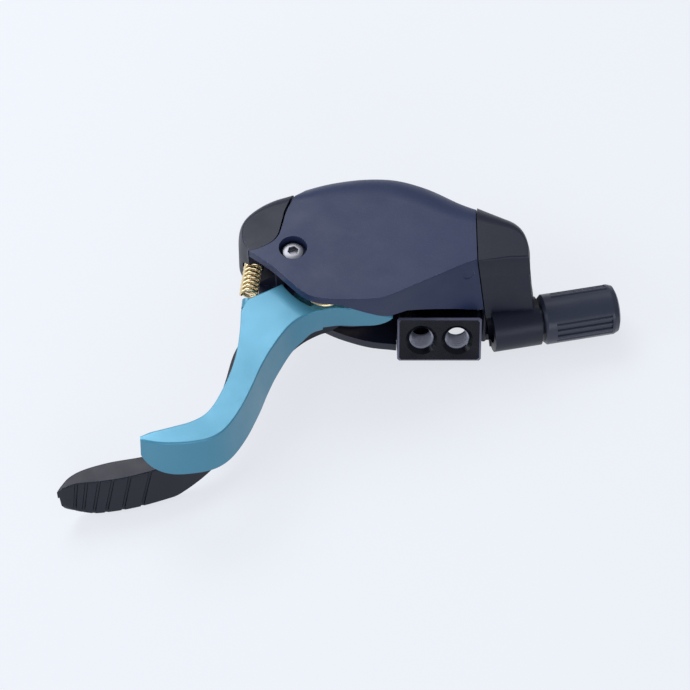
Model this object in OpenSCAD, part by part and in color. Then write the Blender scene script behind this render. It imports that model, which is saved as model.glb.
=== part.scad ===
// Handlebar remote with two thumb levers, a ratcheted cable drum and a barrel adjuster.
// The origin is on the lever pivot axis, at the underside of the base. The levers reach to -X.

/* [Housing] */
// Height at which the cover meets the base at the back
parting_z = 10; // [9.8:0.1:10.4]
// Thickness of the side walls
wall = 1.6; // [1.3:0.1:1.8]
// Thickness of the cover's roof
roof = 1; // [0.8:0.1:1.2]
// Thickness of the base's floor
floor_t = 1.8; // [1.6:0.1:2]
// Height of the thin edge of the cover over the levers
edge_t = 1.6; // [1.3:0.1:1.8]
// Radius of the soft edge round the back of the cover
shoulder_r = 4.7; // [4:0.1:5]
// Underside of the nose, over the levers
nose_z = 12.2; // [12:0.1:13]
// Width of the groove between nose and cover
groove_w = 0.5; // [0.3:0.05:0.6]
// Where the seam of the end cap crosses the floor
seam_x = 24.5; // [24.3:0.1:24.8]
// How far the end cap stands proud of the housing
cap_step = 0.25; // [0.15:0.05:0.4]

/* [Pivot] */
// Diameter of the pivot bolt
axle_d = 5; // [4.6:0.1:5.2]
// Outer diameter of the pull lever's bush
bush_d = 8; // [7.4:0.1:8.4]
// Running clearance on a radius
run_gap = 0.05; // [0.03:0.01:0.08]
// Space between parts stacked on the pivot
stack_gap = 0.3; // [0.2:0.05:0.35]

/* [Levers] */
// Height of the pull lever's top face
pull_z = 8.5; // [8.3:0.1:8.6]
// Height of the release lever's top face
release_z = 18; // [17.8:0.1:18.2]
// Thickness of the pull lever's plate
plate_t = 2; // [1.8:0.1:2.2]
// Thickness of the levers' pressing walls
flange_t = 1.6; // [1.3:0.1:1.8]
// Lowest point of the pull lever's thumb pad
pull_pad_z = 0.6; // [0.5:0.1:1.2]
// Lowest point of the release lever's thumb pad
release_pad_z = 9.9; // [9.8:0.1:11]
// Radius of the step where the release lever drops under the cover
step_r = 13.8; // [13.7:0.05:14]
// Radius of the release lever's ring
ring_r = 8.4; // [8:0.1:8.8]
// Number of grip grooves on the pull lever
groove_count = 6; // [4:1:6]
// Width of a grip groove
grip_w = 0.55; // [0.4:0.05:0.7]

/* [Ratchet] */
// Thickness of the ratchet wheel
ratchet_t = 1.8; // [1.7:0.05:1.9]
// Depth of the ratchet teeth
tooth_h = 1.3; // [1.1:0.1:1.5]
// Number of teeth round the wheel
tooth_count = 24; // [20:1:26]
// Radius of the drum's flanges
drum_r = 9.8; // [9.6:0.1:9.9]
// Height of the drum above the ratchet wheel
drum_h = 3.5; // [3.3:0.1:3.7]
// Radius of the bottom of the cable groove
cable_r = 8.5; // [8.2:0.1:8.8]
// Width of the cable groove
cable_w = 1.8; // [1.5:0.1:1.9]
// Radius of the drum's hub
hub_r = 5.6; // [5.5:0.05:5.7]

/* [Springs] */
// Mean radius of the compression spring
coil_r = 1.3; // [1.25:0.05:1.35]
// Wire diameter of the compression spring
coil_wire = 0.55; // [0.45:0.05:0.6]
// Turns of the compression spring
coil_turns = 11; // [9:1:12]
// Mean radius of the drum's torsion spring
twist_r = 3.3; // [3.2:0.05:3.35]
// Wire diameter of the torsion springs
twist_wire = 0.7; // [0.6:0.05:0.75]
// Turns of the drum's torsion spring
twist_turns = 2; // [1:1:2]

/* [Mount] */
// Width of the threaded mounting bar
bar_w = 14.6; // [14.2:0.1:14.8]
// Height of the bar's face
bar_h = 8.2; // [7.9:0.1:8.4]
// Depth of the bar behind its face
bar_d = 7; // [6.6:0.1:7.1]
// Distance between the bar's two holes
hole_pitch = 6.2; // [6:0.1:6.8]
// Diameter of the threaded holes' wall
hole_d = 4.2; // [4:0.1:4.6]
// Rim diameter of the holes' countersinks
rim_d = 5.5; // [5.2:0.1:5.7]

/* [Adjuster] */
// Outer diameter of the barrel adjuster
barrel_d = 8.9; // [8.6:0.1:9.2]
// Length of the barrel outside the end cap
barrel_l = 13.6; // [12:0.2:15]
// Diameter of the adjuster's stem
stem_d = 5; // [4.8:0.1:5.2]
// Diameter of the cable casing that the barrel takes
casing_d = 4.8; // [4.4:0.1:5]
// Number of ribbed pockets round the barrel
pocket_count = 3; // [3:1:4]
// Ribs in each pocket
rib_count = 3; // [2:1:3]

/* [Screws] */
// Shank diameter of the small screws
screw_d = 2.2; // [2:0.1:2.4]
// Head diameter of the small screws
head_d = 3.8; // [3.6:0.1:4]
// Diameter of the well over the cover screw
well_d = 4.9; // [4.7:0.1:5.1]
// Depth of the well over the cover screw
well_depth = 2.2; // [2:0.1:2.4]

/* [Hidden] */
$fn = 48;

housing_colour = [0.17, 0.18, 0.24];
cap_colour = [0.1, 0.1, 0.12];
metal_black = [0.05, 0.05, 0.06];
petrol = [0.27, 0.53, 0.66];
gold = [0.85, 0.68, 0.38];
steel = [0.72, 0.72, 0.74];

// Steps between two outline points, and the rings of the soft edge
steps = 2;
soft_steps = 5;
eps = 0.01;

// Heights of the parts stacked on the pivot
axle_r = axle_d / 2;
bush_r = bush_d / 2;
washer_t = 0.5;
pull_under = pull_z - plate_t;
boss_top = pull_under - stack_gap - washer_t;
boss_r = 4.4;
wheel_z = pull_z + 0.5;
wheel_top = wheel_z + ratchet_t;
drum_top = wheel_top + drum_h;
web_t = 1.8;
web_z = drum_top + stack_gap;
web_top = web_z + web_t;
hub_top = 18.4;
hub_seat = web_top + 0.2;
nut_r = 3.9;
nut_h = 2;
washer_z = hub_seat + stack_gap;
nut_z = washer_z + washer_t;
bolt_top = nut_z + nut_h + 0.3;
// Height from the underside of the base to the flat face of the cover
housing_h = bolt_top + 1.3 + roof;
bolt_head_r = 3.8;
bolt_head_h = 1.2;
pull_hub_r = 8.2;

// The wheel lies just inside the drum's flanges, and the pawls' pins just outside it
ratchet_r = drum_r - 0.2;
// Places of the small parts, in plan
cover_screw_at = [-9.9, -2.5];
drum_post_at = [-4.4, -8.7];
base_screw_at = [[15.9, 7.9], [-5.2, 10.95], [27.2, 2.4]];
post_r = 1.9;
bracket_screw_at = [[10.9, 3.6], [14.4, -0.6]];
pull_pin_at = (ratchet_r + 2.4) * [cos(225), sin(225)];
hold_pin_at = (ratchet_r + 2.7) * [cos(52), sin(52)];
hold_post_at = (ratchet_r + 2) * [cos(24), sin(24)];
hold_tip_turn = 17;
cam_turn = 24;
pin_r = 1;
pawl_z = wheel_z + 0.1;
pawl_t = 1.5;
tip_gap = 0.25;
screw_r = screw_d / 2;
head_r = head_d / 2;

// Outline of the housing at the parting height: x, y, lean of the wall, roundness of its edge
front_rows = [[-17.6, -3.4, 0.2, 0.1], [-15.4, -5.1, 0.2, 0.1], [-13.1, -7.1, 0.2, 0.1],
    [-10.5, -9.9, 0.2, 0.1], [-8, -12.3, 0.2, 0.1], [-5.5, -13.4, 0.2, 0.1], [-1.8, -13.7, 0.2, 0.1],
    [3.2, -13.7, 0.3, 0.1], [6, -13.2, 0.3, 0.1], [11.1, -11, 0.5, 0.2], [15.6, -9.3, 1, 0.3],
    [20, -7.7, 1.6, 0.3], [23.2, -6.9, 1.9, 0.4], [27.3, -6.5, 2.1, 0.5], [31.6, -6.4, 1.5, 0.5]];
right_rows = [[31.4, -2, 0.9, 0.4], [31.1, 2, 0.9, 0.6], [29.8, 5.6, 0.6, 3.4]];
back_rows = [[24.5, 7.4, 0.2, 5.2], [19.7, 9.4, 0.1, 6], [14.2, 12.7, 0.1, 6.6], [9, 14.6, 0, 6.6],
    [4.6, 15.1, 0, 6.5], [-0.3, 14.7, 0, 6.2], [-5.4, 13.4, 0, 5.4], [-11, 11, 0, 4.2]];
nose_rows = [[-15.2, 8.6, 0, 3], [-18.1, 5.8, 0, 2.2], [-19.4, 3, 0.1, 1.3], [-19.5, 0.4, 0.2, 0.9],
    [-18.9, -1.5, 0.2, 0.5]];

// Seam between the nose and the cover
seam_points = [[-19, -4.3], [-17.4, -3.2], [-15.9, -2.7], [-13.8, -1.5], [-12.5, 0.2], [-11.8, 3],
    [-11.3, 5.4], [-10.2, 8.4], [-9.4, 12], [-9, 17]];

// Front edge of the base's floor, and the rest of the base's foot
foot_front = [[-13.4, 4], [-11.6, 0.4], [-7.9, -2.7], [-3.7, -5.4], [-0.1, -7], [3.5, -8.1], [7.3, -8.6]];
foot_back = [[30.5, 5], [24.5, 7.4], [19.7, 9.4], [14.2, 12.7], [9, 14.6], [4.6, 15.1], [-0.3, 14.7],
    [-5.4, 13.4], [-10.2, 10.9], [-12.9, 8], [-13.6, 6]];

// Edges of the release lever, seen from above, at the height of its top face
release_front = [[7.2, -11.7], [4.2, -12.25], [0.7, -12.45], [-2.7, -12.5], [-6.9, -13.6], [-10.3, -16.1],
    [-13.2, -20.7], [-15, -24.6], [-16.6, -29], [-18.4, -33.3], [-20.6, -36.9], [-22.9, -38.8],
    [-25.8, -39.6], [-28.8, -39.9], [-31.8, -39.8], [-34.6, -39.2]];
release_back = [[-34.7, -38.4], [-33.2, -37.5], [-31.6, -37], [-29, -36.2], [-26.6, -35.4],
    [-24.4, -34.1], [-22.9, -32.2], [-21.4, -28.9], [-20.1, -25.2], [-19.2, -21.1], [-18.8, -17],
    [-18.7, -12.8]];
release_shoulder = [[-18, -10.8], [-17.2, -10.1], [-14.9, -8.9], [-11.8, -7.2]];

// Edges of the pull lever, seen from above, at the height of its top face
pull_front = [[-1.3, -7.2], [-3.6, -8.9], [-5.9, -9.9], [-8.9, -11.9], [-12.2, -15.5], [-15.2, -20.4],
    [-18.1, -26], [-21, -30.8], [-24.4, -34.7], [-28.6, -37.5], [-33.1, -39.3], [-37.4, -40.6],
    [-41.8, -41.4], [-45.6, -41.8], [-48.3, -42.9]];
pull_back = [[-48.9, -43.3], [-48.3, -42], [-47, -40.2], [-44.6, -38.7], [-40.4, -37.3], [-35.1, -36.2],
    [-30.6, -34.8], [-27, -32.6], [-24.4, -29.6], [-22.8, -25.9], [-21.5, -20.8], [-20, -14.6],
    [-17, -9.4], [-12.6, -5.2], [-7.2, -1.2]];

// The barrel's frame: its root on the end cap and its angle in plan
barrel_at = [33, -5.7, 5];
barrel_angle = 10.9;
barrel_gap = 0.4;
casing_deep = 6.8;
stop_t = 1.2;
stop_r = 2.2;
socket_r = 4.3;
insert_r = 3.3;

function mix(a, b, t) = a * (1 - t) + b * t;
function bend_point(p, q, r, s, t) =
    0.5 * (2 * q + (r - p) * t + (2 * p - 5 * q + 4 * r - s) * t * t + (3 * q - p - 3 * r + s) * t * t * t);
// A smooth open run through the points, with both end points
function run(pts, n) = [for (i = [0 : len(pts) - 2], k = [0 : n - 1])
    bend_point(i > 0 ? pts[i - 1] : 2 * pts[0] - pts[1], pts[i], pts[i + 1],
        i + 2 < len(pts) ? pts[i + 2] : 2 * pts[i + 1] - pts[i], k / n), pts[len(pts) - 1]];
function all_but_last(list) = [for (i = [0 : len(list) - 2]) list[i]];
function flat(p) = [p.x, p.y];
function unit(v) = v / norm(v);
// Outward normal at a point of a closed outline that runs anticlockwise
function out_of(pts, i) = let (n = len(pts), a = flat(pts[(i + n - 1) % n]), b = flat(pts[i]),
    c = flat(pts[(i + 1) % n]), u = unit(b - a), v = unit(c - b), w = unit(u + v)) [w.y, -w.x];
function at_z(pts, z) = [for (p = pts) [p.x, p.y, z]];

housing_rows = concat(all_but_last(run(front_rows, steps)), all_but_last(run(concat(
    [front_rows[len(front_rows) - 1]], right_rows, back_rows, nose_rows, [front_rows[0]]), steps)));
function housing_ring(z, grow) = let (
        rise = max(0, z - (housing_h - shoulder_r)) / shoulder_r,
        bow = 1 - sqrt(max(0, 1 - rise * rise)),
        tilt = (z - parting_z) / (housing_h - parting_z))
    [for (i = [0 : len(housing_rows) - 1]) let (r = housing_rows[i],
        p = flat(r) - (r[2] * tilt + r[3] * bow - grow) * out_of(housing_rows, i)) [p.x, p.y, z]];
function soft_z(k) = housing_h - shoulder_r + shoulder_r * sin(90 * k / soft_steps);

// A solid through rings of points; each ring runs anticlockwise as seen from the last ring's side
module loft(rings) {
    n = len(rings[0]);
    m = len(rings);
    sides = [for (j = [0 : m - 2], i = [0 : n - 1]) let (k = (i + 1) % n)
        each [[j * n + i, (j + 1) * n + i, (j + 1) * n + k], [j * n + i, (j + 1) * n + k, j * n + k]]];
    first = [[for (i = [0 : n - 1]) i]];
    last = [[for (i = [n - 1 : -1 : 0]) (m - 1) * n + i]];
    polyhedron(points = [for (r = rings) each r], faces = concat(first, sides, last), convexity = 8);
}

module prism(pts, z0, z1) {
    translate([0, 0, z0]) linear_extrude(z1 - z0) polygon(pts);
}

module tube(r, z0, z1, at = [0, 0]) {
    translate([at.x, at.y, z0]) cylinder(r = r, h = z1 - z0);
}

// A round bar between two points
module bar_between(a, b, r) {
    d = b - a;
    translate(a) rotate([0, acos(d.z / norm(d)), atan2(d.y, d.x)]) cylinder(r = r, h = norm(d));
}

// A wire of six sides along a list of points
module wire(path, r) {
    loft([for (i = [0 : len(path) - 1]) let (
            t = unit(path[min(i + 1, len(path) - 1)] - path[max(i - 1, 0)]),
            side = unit(cross(t, abs(t.z) > 0.9 ? [1, 0, 0] : [0, 0, 1])),
            up = cross(side, t))
        [for (k = [0 : 5]) path[i] + r * (cos(60 * k) * side - sin(60 * k) * up)]]);
}

module housing_body(z0, grow) {
    loft(concat(z0 < parting_z ? [housing_ring(parting_z, grow)] : [housing_ring(z0, grow)],
        [for (k = [0 : soft_steps]) housing_ring(soft_z(k), grow)]));
}

// Points at even spacing along a path
function lengths(path) = [for (i = 0, s = 0; i < len(path);
    s = s + (i + 1 < len(path) ? norm(path[i + 1] - path[i]) : 0), i = i + 1) s];
function along(path, n) = let (c = lengths(path), end = c[len(c) - 1],
        xs = [for (i = [0 : len(path) - 1]) [c[i], path[i].x]],
        ys = [for (i = [0 : len(path) - 1]) [c[i], path[i].y]])
    [for (k = [0 : n]) [lookup(end * k / n, xs), lookup(end * k / n, ys)]];
function backwards(list) = [for (i = [len(list) - 1 : -1 : 0]) list[i]];
function part_of(list, a, b) = [for (i = [a : b]) list[i]];

// The seam between nose and cover, as a place across the length for each place along Y
seam_table = [for (p = run(seam_points, steps)) [p.y, p.x]];
seam_front_y = -3.25;
function seam_line(back_y, shift, n) = [for (k = [0 : n]) let (y = mix(back_y, seam_front_y, k / n))
    [lookup(y, seam_table) + mix(shift, shift * 0.3, k / n), y]];
function cap_seam_x(z) = seam_x - 0.13 * z;
function y_on(ring, a, b, x) = let (xs = [for (i = [a : b]) [ring[i].x, ring[i].y]]) lookup(x, xs);

// Where the rows of the outline lie in the ring of points
last_front = 11 * steps;
first_back = (14 + 5) * steps;
last_back = (14 + 10) * steps + 1;
ring_end = len(housing_rows) - 1;
seam_steps = 9;
function cover_ring(z) = let (r = housing_ring(z, 0), x = cap_seam_x(z) - 0.1) at_z(concat(
    part_of(r, 1, last_front), [[x, y_on(r, last_front, last_front + 6, x)], [x, y_on(backwards(r),
        len(r) - 1 - first_back, len(r) + 5 - first_back, x)]], part_of(r, first_back, last_back),
    seam_line(r[last_back + 1].y, groove_w / 2, seam_steps)), z);
function nose_ring(z) = let (r = housing_ring(z, 0)) at_z(concat(part_of(r, last_back + 2, ring_end),
    backwards(seam_line(r[last_back + 1].y, -groove_w / 2, seam_steps))), z);

// The base: floor, back wall, nose with the spring pocket, pivot boss and posts
module nose_block() {
    loft(concat([nose_ring(parting_z + 0.5)], [for (k = [0 : soft_steps]) nose_ring(soft_z(k))]));
}

module foot_walls() {
    outer = concat(run(foot_front, 2), [[7.5, -6.4], [30.5, -6.4]], run(foot_back, 2));
    back = run(foot_back, 2);
    n = len(back);
    inner = [for (i = [0 : n - 1]) let (t = unit(back[min(i + 1, n - 1)] - back[max(i - 1, 0)]))
        back[i] + wall * [-t.y, t.x]];
    difference() {
        prism(outer, 0, parting_z);
        prism(concat([[-30, -30], [40, -30], [40, inner[0].y]], inner, [[-11.9, 3.6], [-30, 3.6]]),
            floor_t, parting_z + 1);
    }
}

module base_shell() {
    ear_z = web_top + 0.5;
    well_bottom = housing_h - well_depth - 0.5;
    color(housing_colour) difference() {
        union() {
            foot_walls();
            // The nose stands over the levers on the back wall
            difference() {
                nose_block();
                prism([[-30, -10], [-8, -10], [-8, 3.5], [-30, 3.5]], 0, nose_z);
                prism([[-12.9, 1], [-10.5, 1], [-9.4, 5], [-9, 9.4], [-12.6, 7.4]], 0, housing_h - 3);
            }
            prism([[-16.4, 5.4], [-12.2, 4.2], [-8.8, 9.4], [-10.4, 10.6], [-13.2, 9.2]], 7, nose_z + 1);
            // The ear that the cover screw holds on to
            prism([[-15, -1.9], [-12.3, -3], [-9.9, -4.9], [-8.2, -4.2], [-7.5, -2.5], [-8.2, -0.8],
                [-9.9, -0.1], [-13, 0.8], [-15, 1.5]], ear_z, well_bottom);
            tube(boss_r, floor_t - 0.1, boss_top);
            for (i = [0 : 1])
                tube(post_r, floor_t - 0.1, parting_z, base_screw_at[i]);
            tube(2.2, floor_t - 0.1, pawl_z - 0.3, hold_pin_at);
            tube(0.55, 0, parting_z - 0.2, [bar_at.x + bar_w / 2 + 0.75, -6.2]);
        }
        // The cut that the right bar hole looks through
        prism([[16.8, -10], [22.2, -10], [22.2, 0.8], [16.8, 0.8]], -1, floor_t + 1);
        right_of_floor();
        tube(axle_r, -1, boss_top + 1);
        tube(bolt_head_r + 0.1, -1, bolt_head_h + 0.2);
        for (p = base_screw_at) {
            tube(screw_r, -1, parting_z + 1, p);
            tube(head_r + 0.1, -1, 0.9, p);
        }
        for (p = bracket_screw_at) {
            tube(screw_r, -1, floor_t + 1, p);
            tube(head_r + 0.1, -1, 0.9, p);
        }
        tube(pin_r, 4, parting_z, hold_pin_at);
        tube(screw_r, ear_z - 1, housing_h - 1, cover_screw_at);
        spring_pocket();
    }
}

// The base's wall ends at the seam; only the screw tongue reaches under the end cap
module right_of_floor() {
    tongue_z = floor_t - 0.2;
    rotate([90, 0, 0]) translate([0, 0, -20]) linear_extrude(40)
        polygon([[cap_seam_x(tongue_z) - 0.1, tongue_z], [50, tongue_z], [50, 30],
            [cap_seam_x(30) - 0.1, 30]]);
    prism([[cap_seam_x(0), -20], [50, -20], [50, 20], [cap_seam_x(0), 20], [cap_seam_x(0), 5], [28, 4.6],
        [29.8, 3.4], [29.4, -0.4], [cap_seam_x(0), -1.5]], -1, tongue_z + 0.1);
}

coil_from = [-16.4, 2.2, 16];
coil_to = [-17.7, -9.5, 16];
module spring_pocket() {
    bar_between(coil_from, coil_to, coil_r + coil_wire / 2 + 0.3);
}

// The cover over the drum, with the thin edge above the levers
module top_cover() {
    front_inside = [[-9, -9.4], [-5.6, -11.6], [3.2, -12], [5.8, -11.5], [11.3, -9.2], [15.6, -7.5],
        [20, -5.9], [26, -4.8]];
    low_inside = concat([[-16, -2]], front_inside, [[26, 5.6], [19.3, 7.8], [13.7, 11], [8.8, 12.9],
        [4.6, 13.4], [-0.2, 13], [-5, 11.8], [-8.6, 10.2], [-9.6, 8.4], [-10.5, 5.4], [-11, 3],
        [-11.8, 0.4]]);
    high_inside = concat([[-15.2, -2.7]], front_inside, [[26, 4.4], [19.3, 6.2], [13.7, 8.9], [8.8, 10.7],
        [4.6, 11.2], [-0.2, 10.9], [-5, 9.9], [-8.8, 8.4], [-10.5, 5.4], [-11, 3], [-11.8, 0.4]]);
    slot_edge = [[-30, 0], [22, 0], [22, parting_z + 0.2], [20.4, 10.7], [9.6, 15.9], [6.6, 16.2],
        [-2, housing_h - edge_t], [-30, housing_h - edge_t]];
    well_floor = housing_h - well_depth;
    color(housing_colour) difference() {
        union() {
            difference() {
                loft(concat([cover_ring(parting_z)], [for (k = [0 : soft_steps]) cover_ring(soft_z(k))]));
                prism(low_inside, parting_z - 1, housing_h - shoulder_r);
                prism(high_inside, housing_h - shoulder_r - 1, housing_h - roof);
                translate([0, -1, 0]) rotate([90, 0, 0]) linear_extrude(30) polygon(slot_edge);
            }
            tube(well_d / 2 + 1, well_floor - 0.5, housing_h - roof + 0.1, cover_screw_at);
            tube(twist_r - twist_wire / 2 - 0.3, release_z + 0.3, housing_h - roof + 0.1, drum_post_at);
            for (i = [0 : 1])
                tube(post_r, parting_z, housing_h - shoulder_r - 0.8, base_screw_at[i]);
        }
        tube(well_d / 2, well_floor, housing_h + 1, cover_screw_at);
        tube(screw_r + 0.1, well_floor - 1, housing_h - 1, cover_screw_at);
        for (i = [0 : 1])
            tube(screw_r, parting_z - 1, parting_z + 5.6, base_screw_at[i]);
        translate([19.8, -6.5, 15.6]) rotate([76, 0, 24]) cylinder(r = 1.15, h = 0.6, center = true);
    }
}

// The end cap with the barrel's socket
module end_cap() {
    // Outlines at six heights; the first and the last point lie on the seam
    under = [[0, -8.05], [27.5, -7.9], [32.1, -7.6], [32.4, -3], [32, 3.1], [30.7, 5.7], [27.3, 6.7], [0, 7.4]];
    foot = [[0, -8.35], [27.5, -8.2], [32.4, -7.9], [32.7, -3], [32.3, 3.2], [30.9, 6], [27.4, 7], [0, 7.7]];
    sill = [[0, -7.4], [27.6, -7.25], [32.2, -7], [32.4, -2.6], [32, 3.3], [30.6, 5.9], [27.2, 7.1], [0, 8]];
    belt = [[0, -7], [27.8, -6.7], [31.7, -6.5], [31.7, -2], [31.1, 3.1], [29.8, 5.7], [26.8, 6.9], [0, 8.3]];
    brow = [[0, -5.9], [27.6, -5.2], [30.8, -5.1], [30.9, -2], [30.2, 2], [28.6, 4.6], [26, 6.3], [0, 8.5]];
    crest = [[0, -5.25], [27.2, -4.3], [30.2, -4.2], [30.1, -1.9], [29.3, 0.1], [28, 1.2], [25.6, 2], [0, 3.1]];
    last_i = len(foot) - 1;
    // Straight along the front, the right and the seam, and round at the back corner
    function cap_ring(pts, z) = let (
            x = cap_seam_x(z) + 0.1,
            p = [for (j = [0 : last_i]) j == 0 || j == last_i ? [x, pts[j].y] : pts[j]])
        [for (i = [0 : last_i], k = [0 : i > 2 && i < last_i - 1 ? 3 : 0])
            k == 0 ? p[i] : bend_point(p[i - 1], p[i], p[i + 1], p[(i + 2) % len(p)], k / 4)];
    rings = concat(
        [at_z(cap_ring(under, 0.3), 0.3), at_z(cap_ring(foot, 0.8), 0.8)],
        [at_z(cap_ring(sill, 4.8), 4.8), at_z(cap_ring(belt, parting_z), parting_z)],
        [for (k = [0 : soft_steps]) let (b = 1 - cos(90 * k / soft_steps), z = soft_z(k))
            at_z(mix(cap_ring(brow, z), cap_ring(crest, z), b), z)]);
    hollow = [[20, -5], [27, -4.6], [29.4, -3.6], [29.4, 1.8], [27.6, 3.9], [24.5, 5.4], [20, 6.6]];
    color(cap_colour) difference() {
        union() {
            loft(rings);
            // The round socket of the barrel along the foot
            barrel_frame() translate([-8.6, 0, 0]) rotate([0, 90, 0]) cylinder(r = socket_r, h = 8.4);
        }
        difference() {
            prism(hollow, -1, housing_h - 2);
            tube(2.9, floor_t + 0.05, housing_h, base_screw_at[2]);
            barrel_frame() translate([-8.7, 0, 0]) rotate([0, 90, 0]) cylinder(r = socket_r, h = 9);
        }
        tube(screw_r, 0, 8, base_screw_at[2]);
        prism([[20, -1.8], [29.6, -0.7], [30.1, 3.6], [28.2, 4.9], [20, 5.3]], -1, floor_t);
        // Steps and the round bite in the right edge
        translate([31.3, -3.5, 14]) rotate([0, -4, 0]) cylinder(r = 1.1, h = 20);
        translate([31.2, 5.2, 14]) rotate([0, -4, 0]) cylinder(r = 2.6, h = 20);
        barrel_frame() translate([-12, 0, 0]) rotate([0, 90, 0]) cylinder(r = stem_d / 2 + 0.2, h = 14);
        barrel_frame() translate([-7, 0, 0]) rotate([0, 90, 0]) cylinder(r = insert_r, h = 5.5);
    }
}

module barrel_frame() {
    translate(barrel_at) rotate([0, 0, barrel_angle]) children();
}

// The threaded bar that mounts the remote, with its foot in the housing
bar_at = [15.4, -11.5, 7.2];
bar_tilt = 30;
module bar_frame() {
    translate(bar_at) rotate([90 - bar_tilt, 0, 0]) children();
}

module mount_bracket() {
    sink = (rim_d - hole_d) / 2;
    half_w = bar_w / 2;
    half_h = bar_h / 2;
    color(metal_black) difference() {
        union() {
            bar_frame() translate([-half_w, -half_h, -bar_d]) cube([bar_w, bar_h, bar_d]);
            prism([[8.6, -7], [16.2, -7], [16.2, 4.4], [15.2, 5.4], [9.6, 5.4], [8.6, 4.4]],
                floor_t, floor_t + 2.6);
        }
        for (s = [-1, 1]) bar_frame() translate([s * hole_pitch / 2, 0, 0]) {
            translate([0, 0, -bar_d - 0.4]) cylinder(r = hole_d / 2, h = bar_d + 2);
            // The countersink starts a little inside the hole's wall
            translate([0, 0, -sink - 0.05])
                cylinder(r1 = hole_d / 2 - 0.05, r2 = rim_d / 2 + 0.5, h = sink + 0.55);
        }
        for (p = bracket_screw_at)
            tube(screw_r, 0, 8, p);
    }
}

// A small screw: head with a hexagon socket, and shank
module small_screw(shank, head, r_head) {
    difference() {
        union() {
            cylinder(r = screw_r, h = shank);
            translate([0, 0, -head]) cylinder(r = r_head, h = head);
        }
        translate([0, 0, -head - eps]) cylinder(r = screw_r * 0.62, h = head * 0.7, $fn = 6);
    }
}

module bracket_screws() {
    color(steel) for (p = bracket_screw_at)
        translate([p.x, p.y, 0.9]) small_screw(3.4, 0.8, head_r);
}

module base_screws() {
    // Two reach into the cover, and the short one into the end cap
    shanks = [13.6, 13.6, 6.9];
    color(steel) for (i = [0 : 2])
        translate([base_screw_at[i].x, base_screw_at[i].y, 0.9]) small_screw(shanks[i], 0.8, head_r);
}

module cover_screw() {
    drop = housing_h - well_depth;
    color(steel) translate([cover_screw_at.x, cover_screw_at.y, drop])
        rotate([180, 0, 0]) small_screw(2.6, 1.3, head_r + 0.05);
}

// The pivot bolt, its nut and washers
module pivot_bolt() {
    color(steel) difference() {
        union() {
            tube(axle_r, bolt_head_h, bolt_top);
            tube(bolt_head_r, 0.2, bolt_head_h + 0.2);
        }
        translate([0, 0, 0.1]) cylinder(r = 1.7, h = 0.9, $fn = 6);
    }
}

module pivot_nut() {
    color(steel) difference() {
        translate([0, 0, nut_z]) cylinder(r = nut_r, h = nut_h, $fn = 6);
        tube(axle_r, 0, 30);
    }
}

module pivot_washers() {
    color(steel) for (z = [boss_top, washer_z]) difference() {
        tube(4.1, z, z + washer_t);
        tube(axle_r, 0, 30);
    }
}

module hold_pawl_pin() {
    color(steel) union() {
        tube(pin_r, 4, pawl_z + pawl_t + 0.2, hold_pin_at);
        tube(1.7, pawl_z + pawl_t + 0.15, pawl_z + pawl_t + 0.6, hold_pin_at);
    }
}

module adjuster_nut() {
    color(steel) barrel_frame() difference() {
        translate([-7, 0, 0]) rotate([0, 90, 0]) cylinder(r = insert_r, h = 5.4);
        translate([-8, 0, 0]) rotate([0, 90, 0]) cylinder(r = stem_d / 2 + run_gap, h = 9);
    }
}

// A bent-sheet arm: the plate between two edges, with the pressing wall under its front edge
module lever_arm(front, back, low, under, top, lean) {
    n = len(front);
    loft([for (i = [0 : n - 1]) let (
            t = unit(front[min(i + 1, n - 1)] - front[max(i - 1, 0)]),
            f = front[i], b = back[i], o = [-t.y, t.x], u = unit(b - f), w = norm(b - f),
            soft = min(0.35, w / 4), thick = min(flange_t, w * 0.6),
            foot = min(low[i], under - 0.1), out = lean * (top - foot) / 8)
        [[f.x + o.x * out, f.y + o.y * out, foot], [f.x, f.y, top - soft],
            [f.x + u.x * soft, f.y + u.y * soft, top], [b.x - u.x * soft, b.y - u.y * soft, top],
            [b.x, b.y, top - soft], [b.x, b.y, under],
            [f.x + u.x * thick, f.y + u.y * thick, under],
            [f.x + o.x * out + u.x * thick, f.y + o.y * out + u.y * thick, foot]]]);
}

module pull_lever() {
    spans = 26;
    front = along(run(pull_front, steps), spans);
    back = along(backwards(run(pull_back, steps)), spans);
    low = [for (p = front) let (rise = max(0, min(1, 1 - (p.x + 48.6) / 6)), slope = max(0, (p.x + 30) / 18))
        pull_pad_z + 6 * (1 - sqrt(1 - rise * rise)) + slope * 6];
    groove_top = [-45.7, -44, -41.9, -39.6, -36.8, -33.4];
    groove_foot = [-46.7, -45.3, -43.5, -41.4, -38.6, -35.4];
    color(metal_black) difference() {
        union() {
            lever_arm(front, back, low, pull_under, pull_z, 1.3);
            tube(pull_hub_r, pull_under, pull_z);
        }
        tube(bush_r, 0, 30);
        tube(pin_r, 0, 30, pull_pin_at);
        for (i = [0 : groove_count - 1])
            bar_between([groove_top[i], edge_y(front, groove_top[i]) + 0.05, pull_z + 0.3],
                [groove_foot[i], edge_y(front, groove_foot[i]) - 1.35, pull_pad_z - 0.3], grip_w / 2);
        tube(0.5, 0, 30, 6.8 * [cos(140), sin(140)]);
    }
}

// Where an edge that runs to -X crosses a place along the length
function edge_y(path, x) = let (c = [for (i = [0 : len(path) - 2]) if (path[i].x >= x && path[i + 1].x < x)
    mix(path[i].y, path[i + 1].y, (path[i].x - x) / (path[i].x - path[i + 1].x))]) c[0];

module lever_bush() {
    color(gold) difference() {
        tube(bush_r, pull_under, pull_z);
        tube(axle_r + run_gap, 0, 30);
    }
}

module pull_pawl_pin() {
    color(steel) union() {
        tube(pin_r, pull_under, pawl_z + pawl_t + 0.2, pull_pin_at);
        tube(1.6, pull_z, pawl_z - 0.1, pull_pin_at);
    }
}

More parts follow.
